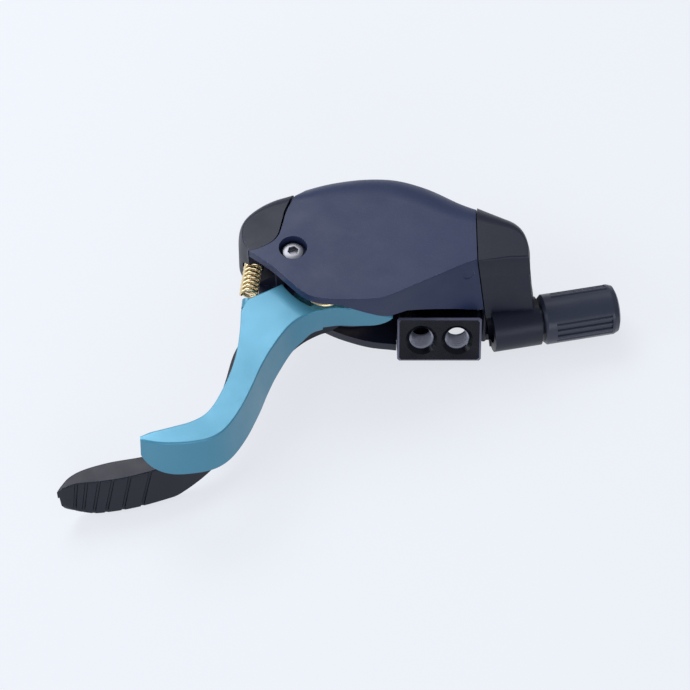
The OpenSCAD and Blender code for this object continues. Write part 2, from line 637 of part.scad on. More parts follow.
// A pawl: an eye on its pin and a finger to the tip
module pawl_shape(pin, tip, side, belly) {
    d = unit(tip - pin);
    o = side * [-d.y, d.x];
    difference() {
        union() {
            tube(2, pawl_z, pawl_z + pawl_t, pin);
            prism([pin + 1.9 * o, pin - 1.6 * o, tip - 0.15 * o, tip + 0.5 * o, tip - 1.6 * d + belly * o],
                pawl_z, pawl_z + pawl_t);
        }
        tube(pin_r + run_gap, 0, 30, pin);
    }
}

module pull_pawl() {
    color(steel) pawl_shape(pull_pin_at, (ratchet_r + tip_gap + 0.1) * [cos(201), sin(201)], 1, 0.6);
}

module hold_pawl() {
    color(steel) union() {
        pawl_shape(hold_pin_at, (ratchet_r + tip_gap + 0.1) * [cos(hold_tip_turn), sin(hold_tip_turn)], 1, 1.4);
        tube(0.9, pawl_z + 0.1, web_top - 0.2, hold_post_at);
    }
}

module ratchet_wheel() {
    pitch = 360 / tooth_count;
    color(steel) difference() {
        prism([for (k = [0 : tooth_count - 1]) each [
            ratchet_r * [cos(k * pitch), sin(k * pitch)],
            (ratchet_r - tooth_h) * [cos(k * pitch + 0.6), sin(k * pitch + 0.6)],
            (ratchet_r - tooth_h * 0.4) * [cos((k + 0.5) * pitch), sin((k + 0.5) * pitch)],
            ratchet_r * [cos((k + 0.85) * pitch), sin((k + 0.85) * pitch)]]], wheel_z, wheel_top);
        tube(axle_r + run_gap, 0, 30);
    }
}

module cable_drum() {
    mid = wheel_top + (drum_top - wheel_top) / 2;
    half = cable_w / 2;
    deep = drum_r - cable_r;
    color(cap_colour) difference() {
        rotate_extrude() polygon([[axle_r + run_gap, wheel_top], [drum_r, wheel_top], [drum_r, mid - half],
            [cable_r, mid - half + 0.3], [cable_r, mid + half - 0.3], [drum_r, mid + half],
            [drum_r, drum_top], [hub_r, drum_top], [hub_r, hub_top], [4.5, hub_top],
            [4.5, hub_seat], [axle_r + run_gap, hub_seat]]);
        // The pocket of the cable's end, and the slot of the torsion spring's leg
        tube(1.7, wheel_top + 0.6, drum_top + 1, 7.7 * [cos(150), sin(150)]);
        translate([-1, -6.2, hub_top - 1.1]) cube([1.1, 2.4, 2]);
    }
}

// The release lever: a ring on the hub, a web under the cover, and the arm outside
module release_lever() {
    spans = [6, 6, 16];
    front_all = run(release_front, steps);
    joints = [3 * steps + 1, 5 * steps, 7 * steps];
    arc = [for (a = [248 : -4 : 212]) step_r * [cos(a), sin(a)]];
    back_tail = backwards(run(release_back, steps));
    front = concat(all_but_last(along(part_of(front_all, joints[0], joints[1]), spans[0])),
        all_but_last(along(part_of(front_all, joints[1], joints[2]), spans[1])),
        along(part_of(front_all, joints[2], len(front_all) - 1), spans[2]));
    shoulder = backwards(run(release_shoulder, steps));
    back = concat(all_but_last(along(arc, spans[0])), all_but_last(along(shoulder, spans[1])),
        along(back_tail, spans[2]));
    low = [for (p = front) let (
            tip = max(0, min(1, 1 - (p.x + 34.8) / 6.5)),
            root = max(0, min(1, (p.x + 16) / 9)))
        release_pad_z + 5.6 * (1 - sqrt(1 - tip * tip)) + 2.4 * root];
    finger_path = [for (p = along(part_of(front_all, 0, joints[0] + 1), 7)) p];
    plate = 2;
    web = [[-6.6, -5], [-10.4, -9.3], [-8.8, -11.6], [-3.4, -12.6], [2, -11.2], [5, -6.6]];
    cam = [for (a = [0 : 4 : 32]) let (q = min(1.15, a / 14), turn = cam_turn + a)
        (10.2 + 1.22 * q) * [cos(turn), sin(turn)]];
    color(petrol) difference() {
        union() {
            lever_arm(front, back, low, release_z - plate, release_z, 1);
            // The finger along the front edge of the cover
            loft([for (i = [0 : 7]) let (
                    p = finger_path[7 - i],
                    low_z = 12.4 + 0.05 * (7 - i),
                    top_z = min(release_z, 19.4 - 0.5 * (p.x + 2)) - (p.x > -1.5 ? 0.35 : 0.2))
                [[p.x, p.y, top_z], [p.x, p.y, low_z], [p.x, p.y + 1.5, low_z], [p.x, p.y + 1.5, top_z]]]);
            prism(web, web_z, web_top);
            tube(ring_r, web_z, web_top);
            prism(concat([[0, 0]], cam), web_z, web_top);
            // The step between the web and the arm
            prism([[-10.9, -9.4], [-9.6, -8.9], [-6.4, -11.6], [-3, -12.4], [-2.2, -13.2], [-7, -14.4],
                [-10.5, -14.8], [-12.2, -11.6]], web_z, release_z - plate + 0.4);
            // The seat of the compression spring
            prism([[-18.9, -11.5], [-15.6, -10.2], [-15.2, -11.4], [-18.4, -12.9]], 14.2, release_z - 1);
            bar_between([-17.8, -11.2, 16], coil_to, 0.95);
        }
        tube(hub_r + run_gap, 0, 30);
    }
}

// Springs
module coil_spring() {
    d = unit(coil_to - coil_from);
    u = unit(cross(d, [0, 0, 1]));
    v = cross(d, u);
    long = norm(coil_to - coil_from) - coil_wire * 1.2 - 0.9;
    color(gold) wire([for (k = [0 : 14 * coil_turns]) let (a = 360 * k / 14, s = k / (14 * coil_turns))
        coil_from + d * (coil_wire * 0.6 + long * s) + coil_r * (cos(a) * u + sin(a) * v)], coil_wire / 2);
}

module drum_spring() {
    low = release_z + 0.2 + twist_wire / 2;
    pitch = twist_wire + 0.02;
    c = [drum_post_at.x, drum_post_at.y, low];
    // The leg comes out of the slot in the drum's hub, and the turns lie above the release lever
    color(gold) wire(concat([[-0.45, -4.9, hub_top - 0.4], [-0.45, -6.1, hub_top + 0.8]],
        [for (k = [0 : 20 * twist_turns + 8]) let (a = -360 * k / 20)
            c + [twist_r * cos(a), twist_r * sin(a), pitch * twist_turns - pitch * k / 20]]), twist_wire / 2);
}

module lever_spring() {
    low = floor_t + 0.1 + twist_wire / 2;
    pitch = twist_wire + 0.1;
    r = boss_r + 0.25 + twist_wire / 2;
    // The upper leg leaves the turns along a tangent and stands up into the lever's hole
    color(gold) wire(concat([for (k = [0 : 20 * 2 + 17]) let (a = 160 + 360 * k / 20)
            [r * cos(a), r * sin(a), low + pitch * k / 20]],
        [[6.8 * cos(140), 6.8 * sin(140), low + pitch * 3.1],
            [6.8 * cos(140), 6.8 * sin(140), pull_under + 0.6]]), twist_wire / 2);
}

// The barrel adjuster: ribbed pockets, casing bore and stem
module barrel_adjuster() {
    r = barrel_d / 2;
    end = barrel_gap + barrel_l;
    pocket = 0.55;
    pocket_turn = 75;
    color(cap_colour) barrel_frame() difference() {
        rotate([0, 90, 0]) rotate([0, 0, pocket_turn + 180 / pocket_count + 180]) rotate_extrude()
            polygon([[0, -6.6], [stem_d / 2 - 0.4, -6.6], [stem_d / 2, -6.2], [stem_d / 2, barrel_gap],
                [r - 0.5, barrel_gap], [r, barrel_gap + 0.5], [r, end - 1.2], [r - 0.35, end - 0.35],
                [r - 1.2, end], [0, end]]);
        for (i = [0 : pocket_count - 1]) rotate([360 * i / pocket_count + pocket_turn, 0, 0]) difference() {
            translate([barrel_gap + 2, -2.1, r - pocket]) cube([barrel_l - 3.6, 4.2, 2]);
            for (k = [0 : rib_count - 1]) translate([0, (k - (rib_count - 1) / 2) * 1.25, r - pocket - 0.05])
                rotate([0, 90, 0]) cylinder(r = 0.4, h = 30);
        }
        translate([end - casing_deep, 0, 0]) rotate([0, 90, 0]) cylinder(r = casing_d / 2 + run_gap, h = 10);
        translate([end - casing_deep - stop_t, 0, 0]) rotate([0, 90, 0])
            cylinder(r = stop_r + run_gap, h = stop_t + 1);
        translate([-10, 0, 0]) rotate([0, 90, 0]) cylinder(r = 0.9, h = 30);
    }
}

module casing_stop() {
    color(steel) barrel_frame() difference() {
        translate([barrel_gap + barrel_l - casing_deep - stop_t, 0, 0]) rotate([0, 90, 0])
            cylinder(r = stop_r, h = stop_t);
        translate([-10, 0, 0]) rotate([0, 90, 0]) cylinder(r = 0.9, h = 30);
    }
}

base_shell();
top_cover();
end_cap();
mount_bracket();
bracket_screws();
cover_screw();
base_screws();
pivot_bolt();
pivot_nut();
pivot_washers();
hold_pawl_pin();
adjuster_nut();
pull_lever();
lever_bush();
pull_pawl_pin();
pull_pawl();
release_lever();
ratchet_wheel();
cable_drum();
hold_pawl();
coil_spring();
drum_spring();
lever_spring();
barrel_adjuster();
casing_stop();
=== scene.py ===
import bpy
import bmesh
import math
from mathutils import Vector, Matrix


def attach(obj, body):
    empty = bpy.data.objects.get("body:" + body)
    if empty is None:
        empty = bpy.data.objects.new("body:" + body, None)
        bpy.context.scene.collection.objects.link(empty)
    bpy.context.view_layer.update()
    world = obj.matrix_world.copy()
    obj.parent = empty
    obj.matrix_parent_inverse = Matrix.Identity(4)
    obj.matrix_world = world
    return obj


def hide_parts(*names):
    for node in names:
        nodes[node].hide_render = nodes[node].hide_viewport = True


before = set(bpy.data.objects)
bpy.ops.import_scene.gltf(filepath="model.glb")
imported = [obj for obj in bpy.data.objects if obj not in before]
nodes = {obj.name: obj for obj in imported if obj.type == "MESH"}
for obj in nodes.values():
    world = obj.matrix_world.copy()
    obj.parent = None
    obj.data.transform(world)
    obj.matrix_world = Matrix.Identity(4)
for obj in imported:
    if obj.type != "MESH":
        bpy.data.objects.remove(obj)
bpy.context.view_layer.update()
MM = 0.001

# ---------------------------------------------------------------- camera
picture_px, mm_per_px = 690, 0.177
distance = 450
target = Vector((-1.0, -7.5, 0.0)) * MM
elevation = math.radians(55)
towards = Vector((0, -math.cos(elevation), math.sin(elevation)))
camera = bpy.data.objects.new("camera", bpy.data.cameras.new("camera"))
camera.location = target + towards * (distance * MM)
camera.rotation_euler = (-towards).to_track_quat("-Z", "Y").to_euler()
camera.data.sensor_width = 36
camera.data.lens = 36 * distance / (picture_px * mm_per_px)
camera.data.clip_start = 0.01
camera.data.clip_end = 20
bpy.context.scene.collection.objects.link(camera)
bpy.context.scene.camera = camera
bpy.context.scene.view_settings.view_transform = "Standard"


# ---------------------------------------------------------------- shape helpers, in millimetres
def unit(v):
    n = math.hypot(v[0], v[1])
    return (v[0] / n, v[1] / n)


def mix(a, b, t):
    return tuple(x * (1 - t) + y * t for x, y in zip(a, b))


def bend_point(p, q, r, s, t):
    """A point of the smooth curve from q to r, with p and s as its neighbours."""
    return tuple(0.5 * (2 * b + (c - a) * t + (2 * a - 5 * b + 4 * c - d) * t * t
                        + (3 * b - a - 3 * c + d) * t ** 3) for a, b, c, d in zip(p, q, r, s))


def run(pts, n):
    """A smooth open run through the points."""
    out = []
    for i in range(len(pts) - 1):
        p = pts[i - 1] if i else tuple(2 * a - b for a, b in zip(pts[0], pts[1]))
        s = pts[i + 2] if i + 2 < len(pts) else tuple(2 * a - b for a, b in zip(pts[-1], pts[-2]))
        out += [bend_point(p, pts[i], pts[i + 1], s, k / n) for k in range(n)]
    return out + [tuple(pts[-1])]


def lookup(x, pairs):
    """The value at x in a table of (x, value) pairs, read straight between its rows."""
    pairs = sorted(pairs)
    if x <= pairs[0][0]:
        return pairs[0][1]
    for (a, u), (b, v) in zip(pairs, pairs[1:]):
        if x <= b:
            return u + (v - u) * (x - a) / (b - a) if b > a else v
    return pairs[-1][1]


def along(path, n):
    """Points at even spacing along a path."""
    c = [0.0]
    for a, b in zip(path, path[1:]):
        c.append(c[-1] + math.dist(a, b))
    return [tuple(lookup(c[-1] * k / n, list(zip(c, [p[j] for p in path]))) for j in range(len(path[0])))
            for k in range(n + 1)]


def out_of(pts, i):
    """The direction out of a closed outline at its point i."""
    n = len(pts)
    a, b, c = pts[i - 1], pts[i], pts[(i + 1) % n]
    u, v = unit((b[0] - a[0], b[1] - a[1])), unit((c[0] - b[0], c[1] - b[1]))
    w = unit((u[0] + v[0], u[1] + v[1]))
    return (w[1], -w[0])


def at_z(pts, z):
    return [(p[0], p[1], z) for p in pts]


def make(name, verts, faces):
    mesh = bpy.data.meshes.new(name)
    mesh.from_pydata([(x * MM, y * MM, z * MM) for x, y, z in verts], [], faces)
    mesh.validate()
    obj = bpy.data.objects.new(name, mesh)
    bpy.context.scene.collection.objects.link(obj)
    return obj


def outward(obj):
    bm = bmesh.new()
    bm.from_mesh(obj.data)
    bmesh.ops.recalc_face_normals(bm, faces=bm.faces)
    bm.to_mesh(obj.data)
    bm.free()
    return obj


def loft(name, rings):
    """A closed skin over rings that all have the same number of points."""
    n, m = len(rings[0]), len(rings)
    faces = [[j * n + i, (j + 1) * n + i, (j + 1) * n + (i + 1) % n, j * n + (i + 1) % n]
             for j in range(m - 1) for i in range(n)]
    faces += [list(range(n)), [(m - 1) * n + i for i in range(n - 1, -1, -1)]]
    return outward(make(name, [p for r in rings for p in r], faces))


def prism(name, pts, z0, z1):
    return loft(name, [at_z(pts, z0), at_z(pts, z1)])


def disc(r, z0, z1, at=(0, 0), sides=64, turn=0.0):
    ring = [(at[0] + r * math.cos(turn + 2 * math.pi * k / sides),
             at[1] + r * math.sin(turn + 2 * math.pi * k / sides)) for k in range(sides)]
    return prism("disc", ring, z0, z1)


def revolve(name, profile, sides=96):
    """A closed solid turned about Z; profile rows are (radius, z), and rows on the axis close it."""
    verts, faces, rows = [], [], []
    for r, z in profile:
        if r < 1e-6:
            rows.append([len(verts)] * sides)
            verts.append((0, 0, z))
        else:
            rows.append([len(verts) + k for k in range(sides)])
            verts += [(r * math.cos(2 * math.pi * k / sides), r * math.sin(2 * math.pi * k / sides), z)
                      for k in range(sides)]
    pairs = list(zip(rows, rows[1:]))
    if profile[0][0] > 1e-6:
        pairs.append((rows[-1], rows[0]))
    for a, b in pairs:
        for k in range(sides):
            j = (k + 1) % sides
            f = []
            for v in (a[k], a[j], b[j], b[k]):
                if v not in f:
                    f.append(v)
            if len(f) > 2:
                faces.append(f)
    return outward(make(name, verts, faces))


def shift(obj, matrix):
    """The mesh carried by a matrix whose translation is in millimetres."""
    m = matrix.copy()
    m.translation = m.translation * MM
    obj.data.transform(m)
    return obj


def bar(a, b, r, sides=24):
    """A round bar between two points."""
    a, b = Vector(a), Vector(b)
    long = (b - a).length
    obj = revolve("bar", [(0, 0), (r, 0), (r, long), (0, long)], sides)
    return shift(obj, Matrix.Translation(a) @ (b - a).to_track_quat("Z", "Y").to_matrix().to_4x4())


def tube_along(name, path, r, sides=12):
    """A closed wire along a list of points, with its frame carried from point to point."""
    pts = [Vector(p) for p in path]
    rings, side = [], None
    for i, p in enumerate(pts):
        t = (pts[min(i + 1, len(pts) - 1)] - pts[max(i - 1, 0)]).normalized()
        if side is None:
            side = t.cross(Vector((0, 0, 1)) if abs(t.z) < 0.9 else Vector((1, 0, 0))).normalized()
        side = (side - t * side.dot(t)).normalized()
        up = t.cross(side)
        rings.append([tuple(p + r * (math.cos(2 * math.pi * k / sides) * side
                                     + math.sin(2 * math.pi * k / sides) * up)) for k in range(sides)])
    return loft(name, rings)


def apply_all(obj):
    """The object's modifiers worked into its mesh."""
    dg = bpy.context.evaluated_depsgraph_get()
    mesh = bpy.data.meshes.new_from_object(obj.evaluated_get(dg))
    obj.modifiers.clear()
    old = obj.data
    obj.data = mesh
    bpy.data.meshes.remove(old)
    return obj


def solid(obj, other, operation):
    m = obj.modifiers.new("b", "BOOLEAN")
    m.operation = operation
    m.solver = "EXACT"
    m.object = other
    apply_all(obj)
    bpy.data.objects.remove(other)
    return obj


def cut(obj, *others):
    for o in others:
        solid(obj, o, "DIFFERENCE")
    return obj


def add(obj, *others):
    for o in others:
        solid(obj, o, "UNION")
    return obj


def clean(obj):
    """Points that fall together are merged, and slivers and loose points go."""
    reach = 0.004
    bm = bmesh.new()
    bm.from_mesh(obj.data)
    bmesh.ops.remove_doubles(bm, verts=bm.verts, dist=reach * MM)
    bmesh.ops.dissolve_degenerate(bm, edges=bm.edges, dist=reach * MM)
    loose = [v for v in bm.verts if not v.link_faces]
    bmesh.ops.delete(bm, geom=loose, context="VERTS")
    bm.to_mesh(obj.data)
    bm.free()
    return obj


def finish_edges(obj, width, angle=38, segments=2, edge_slot=None):
    """Small bevels on the sharp edges, and smooth shading between them."""
    m = obj.modifiers.new("edge", "BEVEL")
    m.width = width * MM
    m.segments = segments
    m.limit_method = "ANGLE"
    m.angle_limit = math.radians(angle)
    m.use_clamp_overlap = True
    m.harden_normals = False
    # The bevel faces take the edge material, whose lighter colour paints a highlight on the edges.
    if edge_slot is not None:
        m.material = edge_slot
    shade(obj)
    flat = obj.modifiers.new("flat", "WEIGHTED_NORMAL")
    flat.mode = "FACE_AREA_WITH_ANGLE"
    flat.weight = 80
    flat.keep_sharp = True


def shade(obj, smooth=34):
    obj.data.polygons.foreach_set("use_smooth", [True] * len(obj.data.polygons))
    obj.data.set_sharp_from_angle(angle=math.radians(smooth))


# ---------------------------------------------------------------- materials
def material(name, colour, rough, metal=0.0, spread=0.06, grain=900, bump=0.02, coat=0.0, fleck=0.0,
             fleck_colour=(0.5, 0.52, 0.6), cloud=60, scratch=0.0, specular=0.5):
    """A surface with cloudy colour variation, a fine grain in its relief, changing gloss, and flecks."""
    gloss_spread = 0.06
    mat = bpy.data.materials.new(name)
    mat.use_nodes = True
    tree = mat.node_tree
    shader = tree.nodes["Principled BSDF"]
    link = tree.links.new
    place = tree.nodes.new("ShaderNodeTexCoord")

    def noise(scale, detail=3.0, roughness=0.55):
        n = tree.nodes.new("ShaderNodeTexNoise")
        n.inputs["Scale"].default_value = scale
        n.inputs["Detail"].default_value = detail
        n.inputs["Roughness"].default_value = roughness
        link(place.outputs["Object"], n.inputs["Vector"])
        return n

    big = noise(cloud, 2.0)
    fine = noise(grain * 2.2, 2.0)
    dark = tuple(c * (1 - spread) for c in colour)
    light = tuple(min(1, c * (1 + spread)) for c in colour)
    ramp = tree.nodes.new("ShaderNodeValToRGB")
    ramp.color_ramp.elements[0].position = 0.3
    ramp.color_ramp.elements[1].position = 0.7
    ramp.color_ramp.elements[0].color = (*dark, 1)
    ramp.color_ramp.elements[1].color = (*light, 1)
    both = tree.nodes.new("ShaderNodeMath")
    both.operation = "MULTIPLY_ADD"
    both.inputs[1].default_value = 0.45
    link(fine.outputs["Fac"], both.inputs[0])
    half = tree.nodes.new("ShaderNodeMath")
    half.operation = "MULTIPLY"
    half.inputs[1].default_value = 0.55
    link(big.outputs["Fac"], half.inputs[0])
    link(half.outputs[0], both.inputs[2])
    link(both.outputs[0], ramp.inputs["Fac"])
    tint = ramp.outputs["Color"]
    if fleck:
        spots = tree.nodes.new("ShaderNodeTexVoronoi")
        spots.inputs["Scale"].default_value = grain * 2.6
        link(place.outputs["Object"], spots.inputs["Vector"])
        near = tree.nodes.new("ShaderNodeMapRange")
        near.inputs["From Min"].default_value = 0.05
        near.inputs["From Max"].default_value = 0.24
        near.inputs["To Min"].default_value = fleck
        near.inputs["To Max"].default_value = 0.0
        link(spots.outputs["Distance"], near.inputs["Value"])
        blend = tree.nodes.new("ShaderNodeMix")
        blend.data_type = "RGBA"
        link(near.outputs[0], blend.inputs["Factor"])
        link(tint, blend.inputs["A"])
        blend.inputs["B"].default_value = (*fleck_colour, 1)
        tint = blend.outputs["Result"]
    link(tint, shader.inputs["Base Color"])
    gloss = tree.nodes.new("ShaderNodeMapRange")
    gloss.inputs["From Min"].default_value = 0.3
    gloss.inputs["From Max"].default_value = 0.7
    gloss.inputs["To Min"].default_value = max(0.02, rough - gloss_spread)
    gloss.inputs["To Max"].default_value = min(1.0, rough + gloss_spread)
    link(noise(cloud * 3, 4.0).outputs["Fac"], gloss.inputs["Value"])
    link(gloss.outputs[0], shader.inputs["Roughness"])
    relief = tree.nodes.new("ShaderNodeBump")
    relief.inputs["Strength"].default_value = 0.35
    relief.inputs["Distance"].default_value = bump * MM
    height = noise(grain, 4.0, 0.6).outputs["Fac"]
    if scratch:
        lines = tree.nodes.new("ShaderNodeMapping")
        lines.inputs["Scale"].default_value = (40, 1400, 1400)
        link(place.outputs["Object"], lines.inputs["Vector"])
        streak = tree.nodes.new("ShaderNodeTexNoise")
        streak.inputs["Scale"].default_value = 2.0
        link(lines.outputs[0], streak.inputs["Vector"])
        join = tree.nodes.new("ShaderNodeMath")
        join.operation = "MULTIPLY_ADD"
        join.inputs[1].default_value = scratch
        link(streak.outputs["Fac"], join.inputs[0])
        link(height, join.inputs[2])
        height = join.outputs[0]
    link(height, relief.inputs["Height"])
    link(relief.outputs["Normal"], shader.inputs["Normal"])
    shader.inputs["Metallic"].default_value = metal
    shader.inputs["Specular IOR Level"].default_value = specular
    shader.inputs["Coat Weight"].default_value = coat
    shader.inputs["Coat Roughness"].default_value = 0.12
    return mat


cover_paint = material("cover_paint", (0.022, 0.034, 0.092), 0.46, spread=0.10, grain=1500, bump=0.012,
                       fleck=0.08, specular=0.4)
# Lighter, flecked colour for the cover's and base's bevel faces: rubbed-edge flecks, plus a painted highlight
# along the lit edges.
cover_edge_wear_and_highlight = material("cover_edge_wear_and_highlight", (0.34, 0.36, 0.50), 0.34, spread=0.35, grain=1500, bump=0.02, fleck=0.55,
                      fleck_colour=(0.62, 0.64, 0.78))
base_paint = material("base_paint", (0.012, 0.014, 0.032), 0.44, spread=0.12, grain=1500, bump=0.012,
                      fleck=0.05, specular=0.35)
cap_black = material("cap_black", (0.010, 0.013, 0.028), 0.42, spread=0.16, grain=1300, bump=0.016,
                     fleck=0.04, specular=0.35)
# Lighter grey on the cap's bevel faces is a painted highlight.
cap_highlight_edge = material("cap_highlight_edge", (0.05, 0.05, 0.065), 0.30, spread=0.2, grain=1300, bump=0.012)
gloss_black = material("gloss_black", (0.004, 0.005, 0.009), 0.24, spread=0.2, grain=1800, bump=0.005,
                       specular=0.22)
# Lavender grey on the bar's chamfers is a painted highlight: the pale backdrop's reflection painted into the
# colour.
bar_highlight_edge = material("bar_highlight_edge", (0.16, 0.16, 0.24), 0.30, metal=0.2, spread=0.16, grain=1800, bump=0.006)
thread_grey = material("thread_grey", (0.42, 0.42, 0.50), 0.28, metal=0.8, spread=0.16, grain=1800,
                       bump=0.006)
teal = material("teal_anodised", (0.082, 0.315, 0.455), 0.36, metal=0.25, spread=0.05, grain=2200, bump=0.008,
                coat=0.10, cloud=45)
# Pale teal on the lever's bevel faces: partly bared anodising, partly a painted highlight along the crease.
teal_highlight_edge = material("teal_highlight_edge", (0.42, 0.72, 0.88), 0.25, metal=0.35, spread=0.06, grain=2200, bump=0.004)
pull_black = material("pull_black", (0.008, 0.010, 0.022), 0.36, spread=0.16, grain=1700, bump=0.010,
                      specular=0.32)
# Lighter grey on the pull lever's bevel faces is a painted highlight.
pull_highlight_edge = material("pull_highlight_edge", (0.10, 0.105, 0.14), 0.28, metal=0.3, spread=0.2, grain=1700, bump=0.006)
gold = material("gold_wire", (0.86, 0.70, 0.42), 0.26, metal=1.0, spread=0.12, grain=1200, bump=0.010,
                cloud=240)
steel = material("plain_steel", (0.50, 0.50, 0.53), 0.30, metal=1.0, spread=0.08, grain=1500, bump=0.010,
                 scratch=0.5)
bronze = material("bronze", (0.60, 0.44, 0.22), 0.30, metal=1.0, spread=0.12, grain=1500, bump=0.010)
barrel_black = material("barrel_black", (0.030, 0.036, 0.062), 0.34, spread=0.15, grain=1300, bump=0.012,
                        specular=0.5)
screw_steel = material("screw_steel", (0.30, 0.30, 0.33), 0.42, metal=1.0, spread=0.12, grain=1500,
                       bump=0.012)
drum_black = material("drum_black", (0.012, 0.012, 0.016), 0.40, spread=0.15, grain=1200, bump=0.012)


def dress(obj, *mats):
    obj.data.materials.clear()
    for m in mats:
        obj.data.materials.append(m)
    return obj


# ---------------------------------------------------------------- the housing's outline
housing_h = 22.0
parting_z = 10.0
wall = 1.6
roof = 1.0
floor_t = 1.8
edge_t = 1.6
shoulder_r = 4.7
nose_z = 12.2
groove_w = 0.5
seam_x = 24.5
well_d = 4.9
well_depth = 2.2
screw_r = 1.1
head_r = 1.9
post_r = 1.9
steps = 6
soft_steps = 10
half = steps // 2
cover_screw_at = (-9.9, -2.5)
drum_post_at = (-4.4, -8.7)
base_screw_at = [(15.9, 7.9), (-5.2, 10.95), (27.2, 2.4)]
bracket_screw_at = [(10.9, 3.6), (14.4, -0.6)]


def polar(r, a):
    return (r * math.cos(math.radians(a)), r * math.sin(math.radians(a)))


hold_pin_at = polar(12.3, 52)

# Each row of the outline: x, y, what the slope takes off by the top, and what the shoulder takes off
front_rows = [(-17.6, -3.4, 0.2, 0.1), (-15.4, -5.1, 0.2, 0.1), (-13.1, -7.1, 0.2, 0.1),
              (-10.5, -9.9, 0.2, 0.1), (-8, -12.3, 0.2, 0.1), (-5.5, -13.4, 0.2, 0.1),
              (-1.8, -13.7, 0.2, 0.1), (3.2, -13.7, 0.3, 0.1), (6, -13.2, 0.3, 0.1), (11.1, -11, 0.5, 0.2),
              (15.6, -9.3, 1, 0.3), (20, -7.7, 1.6, 0.3), (23.2, -6.9, 1.9, 0.4), (27.3, -6.5, 2.1, 0.5),
              (31.6, -6.4, 1.5, 0.5)]
right_rows = [(31.4, -2, 0.9, 0.4), (31.1, 2, 0.9, 0.6), (29.8, 5.6, 0.6, 3.4)]
back_rows = [(24.5, 7.4, 0.2, 5.2), (19.7, 9.4, 0.1, 6), (14.2, 12.7, 0.1, 6.6), (9, 14.6, 0, 6.6),
             (4.6, 15.1, 0, 6.5), (-0.3, 14.7, 0, 6.2), (-5.4, 13.4, 0, 5.4), (-11, 11, 0, 4.2)]
nose_rows = [(-15.2, 8.6, 0, 3), (-18.1, 5.8, 0, 2.2), (-19.4, 3, 0.1, 1.3), (-19.5, 0.4, 0.2, 0.9),
             (-18.9, -1.5, 0.2, 0.5)]
seam_points = [(-19, -4.3), (-17.4, -3.2), (-15.9, -2.7), (-13.8, -1.5), (-12.5, 0.2), (-11.8, 3),
               (-11.3, 5.4), (-10.2, 8.4), (-9.4, 12), (-9, 17)]
foot_front = [(-13.4, 4), (-11.6, 0.4), (-7.9, -2.7), (-3.7, -5.4), (-0.1, -7), (3.5, -8.1), (7.3, -8.6)]
foot_back = [(30.5, 5), (24.5, 7.4), (19.7, 9.4), (14.2, 12.7), (9, 14.6), (4.6, 15.1), (-0.3, 14.7),
             (-5.4, 13.4), (-10.2, 10.9), (-12.9, 8), (-13.6, 6)]

rows = run(front_rows, steps)[:-1] + run([front_rows[-1]] + right_rows + back_rows + nose_rows
                                         + [front_rows[0]], steps)[:-1]


def housing_ring(z):
    """The whole outline at a height, drawn in by the walls' slope and by the soft shoulder."""
    rise = max(0.0, z - (housing_h - shoulder_r)) / shoulder_r
    bow = 1 - math.sqrt(max(0.0, 1 - rise * rise))
    tilt = (z - parting_z) / (housing_h - parting_z)
    ring = []
    for i, r in enumerate(rows):
        n = out_of(rows, i)
        d = r[2] * tilt + r[3] * bow
        ring.append((r[0] - d * n[0], r[1] - d * n[1]))
    return ring


def soft_z(k):
    return housing_h - shoulder_r + shoulder_r * math.sin(math.pi / 2 * k / soft_steps)


def cap_seam_x(z):
    """The seam between cover and cap leans a little to the left with height."""
    return seam_x - 0.13 * z


seam_table = [(p[1], p[0]) for p in run(seam_points, steps)]
seam_front_y = -3.25


def seam_line(back_y, gap, n):
    """One side of the groove between the nose and the cover, from the back to the front."""
    out = []
    for k in range(n + 1):
        y = back_y + (seam_front_y - back_y) * k / n
        out.append((lookup(y, seam_table) + gap * (1 - 0.7 * k / n), y))
    return out


def nose_ring(z):
    r = housing_ring(z)
    return at_z(r[25 * steps + half:] + seam_line(r[25 * steps][1], -groove_w / 2, 24)[::-1], z)


def cover_rings():
    """The cover's rings from the parting line up, with runs taken by index so that their points agree."""
    levels = [parting_z, 13.0, 15.5] + [soft_z(k) for k in range(soft_steps + 1)]
    base = housing_ring(parting_z)
    x0 = cap_seam_x(housing_h) - 0.1
    top = housing_ring(housing_h)
    last_front = max(i for i in range(half, 12 * steps) if top[i][0] < x0 - 0.2)
    first_back = min(i for i in range(18 * steps, 21 * steps)
                     if top[i][0] < x0 - 0.2 and base[i][0] < x0 - 0.2)
    out = []
    for z in levels:
        r = housing_ring(z)
        x = cap_seam_x(z) - 0.1
        y_front = lookup(x, [(p[0], p[1]) for p in r[10 * steps:14 * steps]])
        y_back = lookup(x, [(p[0], p[1]) for p in r[17 * steps:20 * steps + 1]])
        out.append(at_z(r[half:last_front + 1] + [(x, y_front), (x, y_back)]
                        + r[first_back:24 * steps + half + 1]
                        + seam_line(r[25 * steps][1], groove_w / 2, 24), z))
    return out


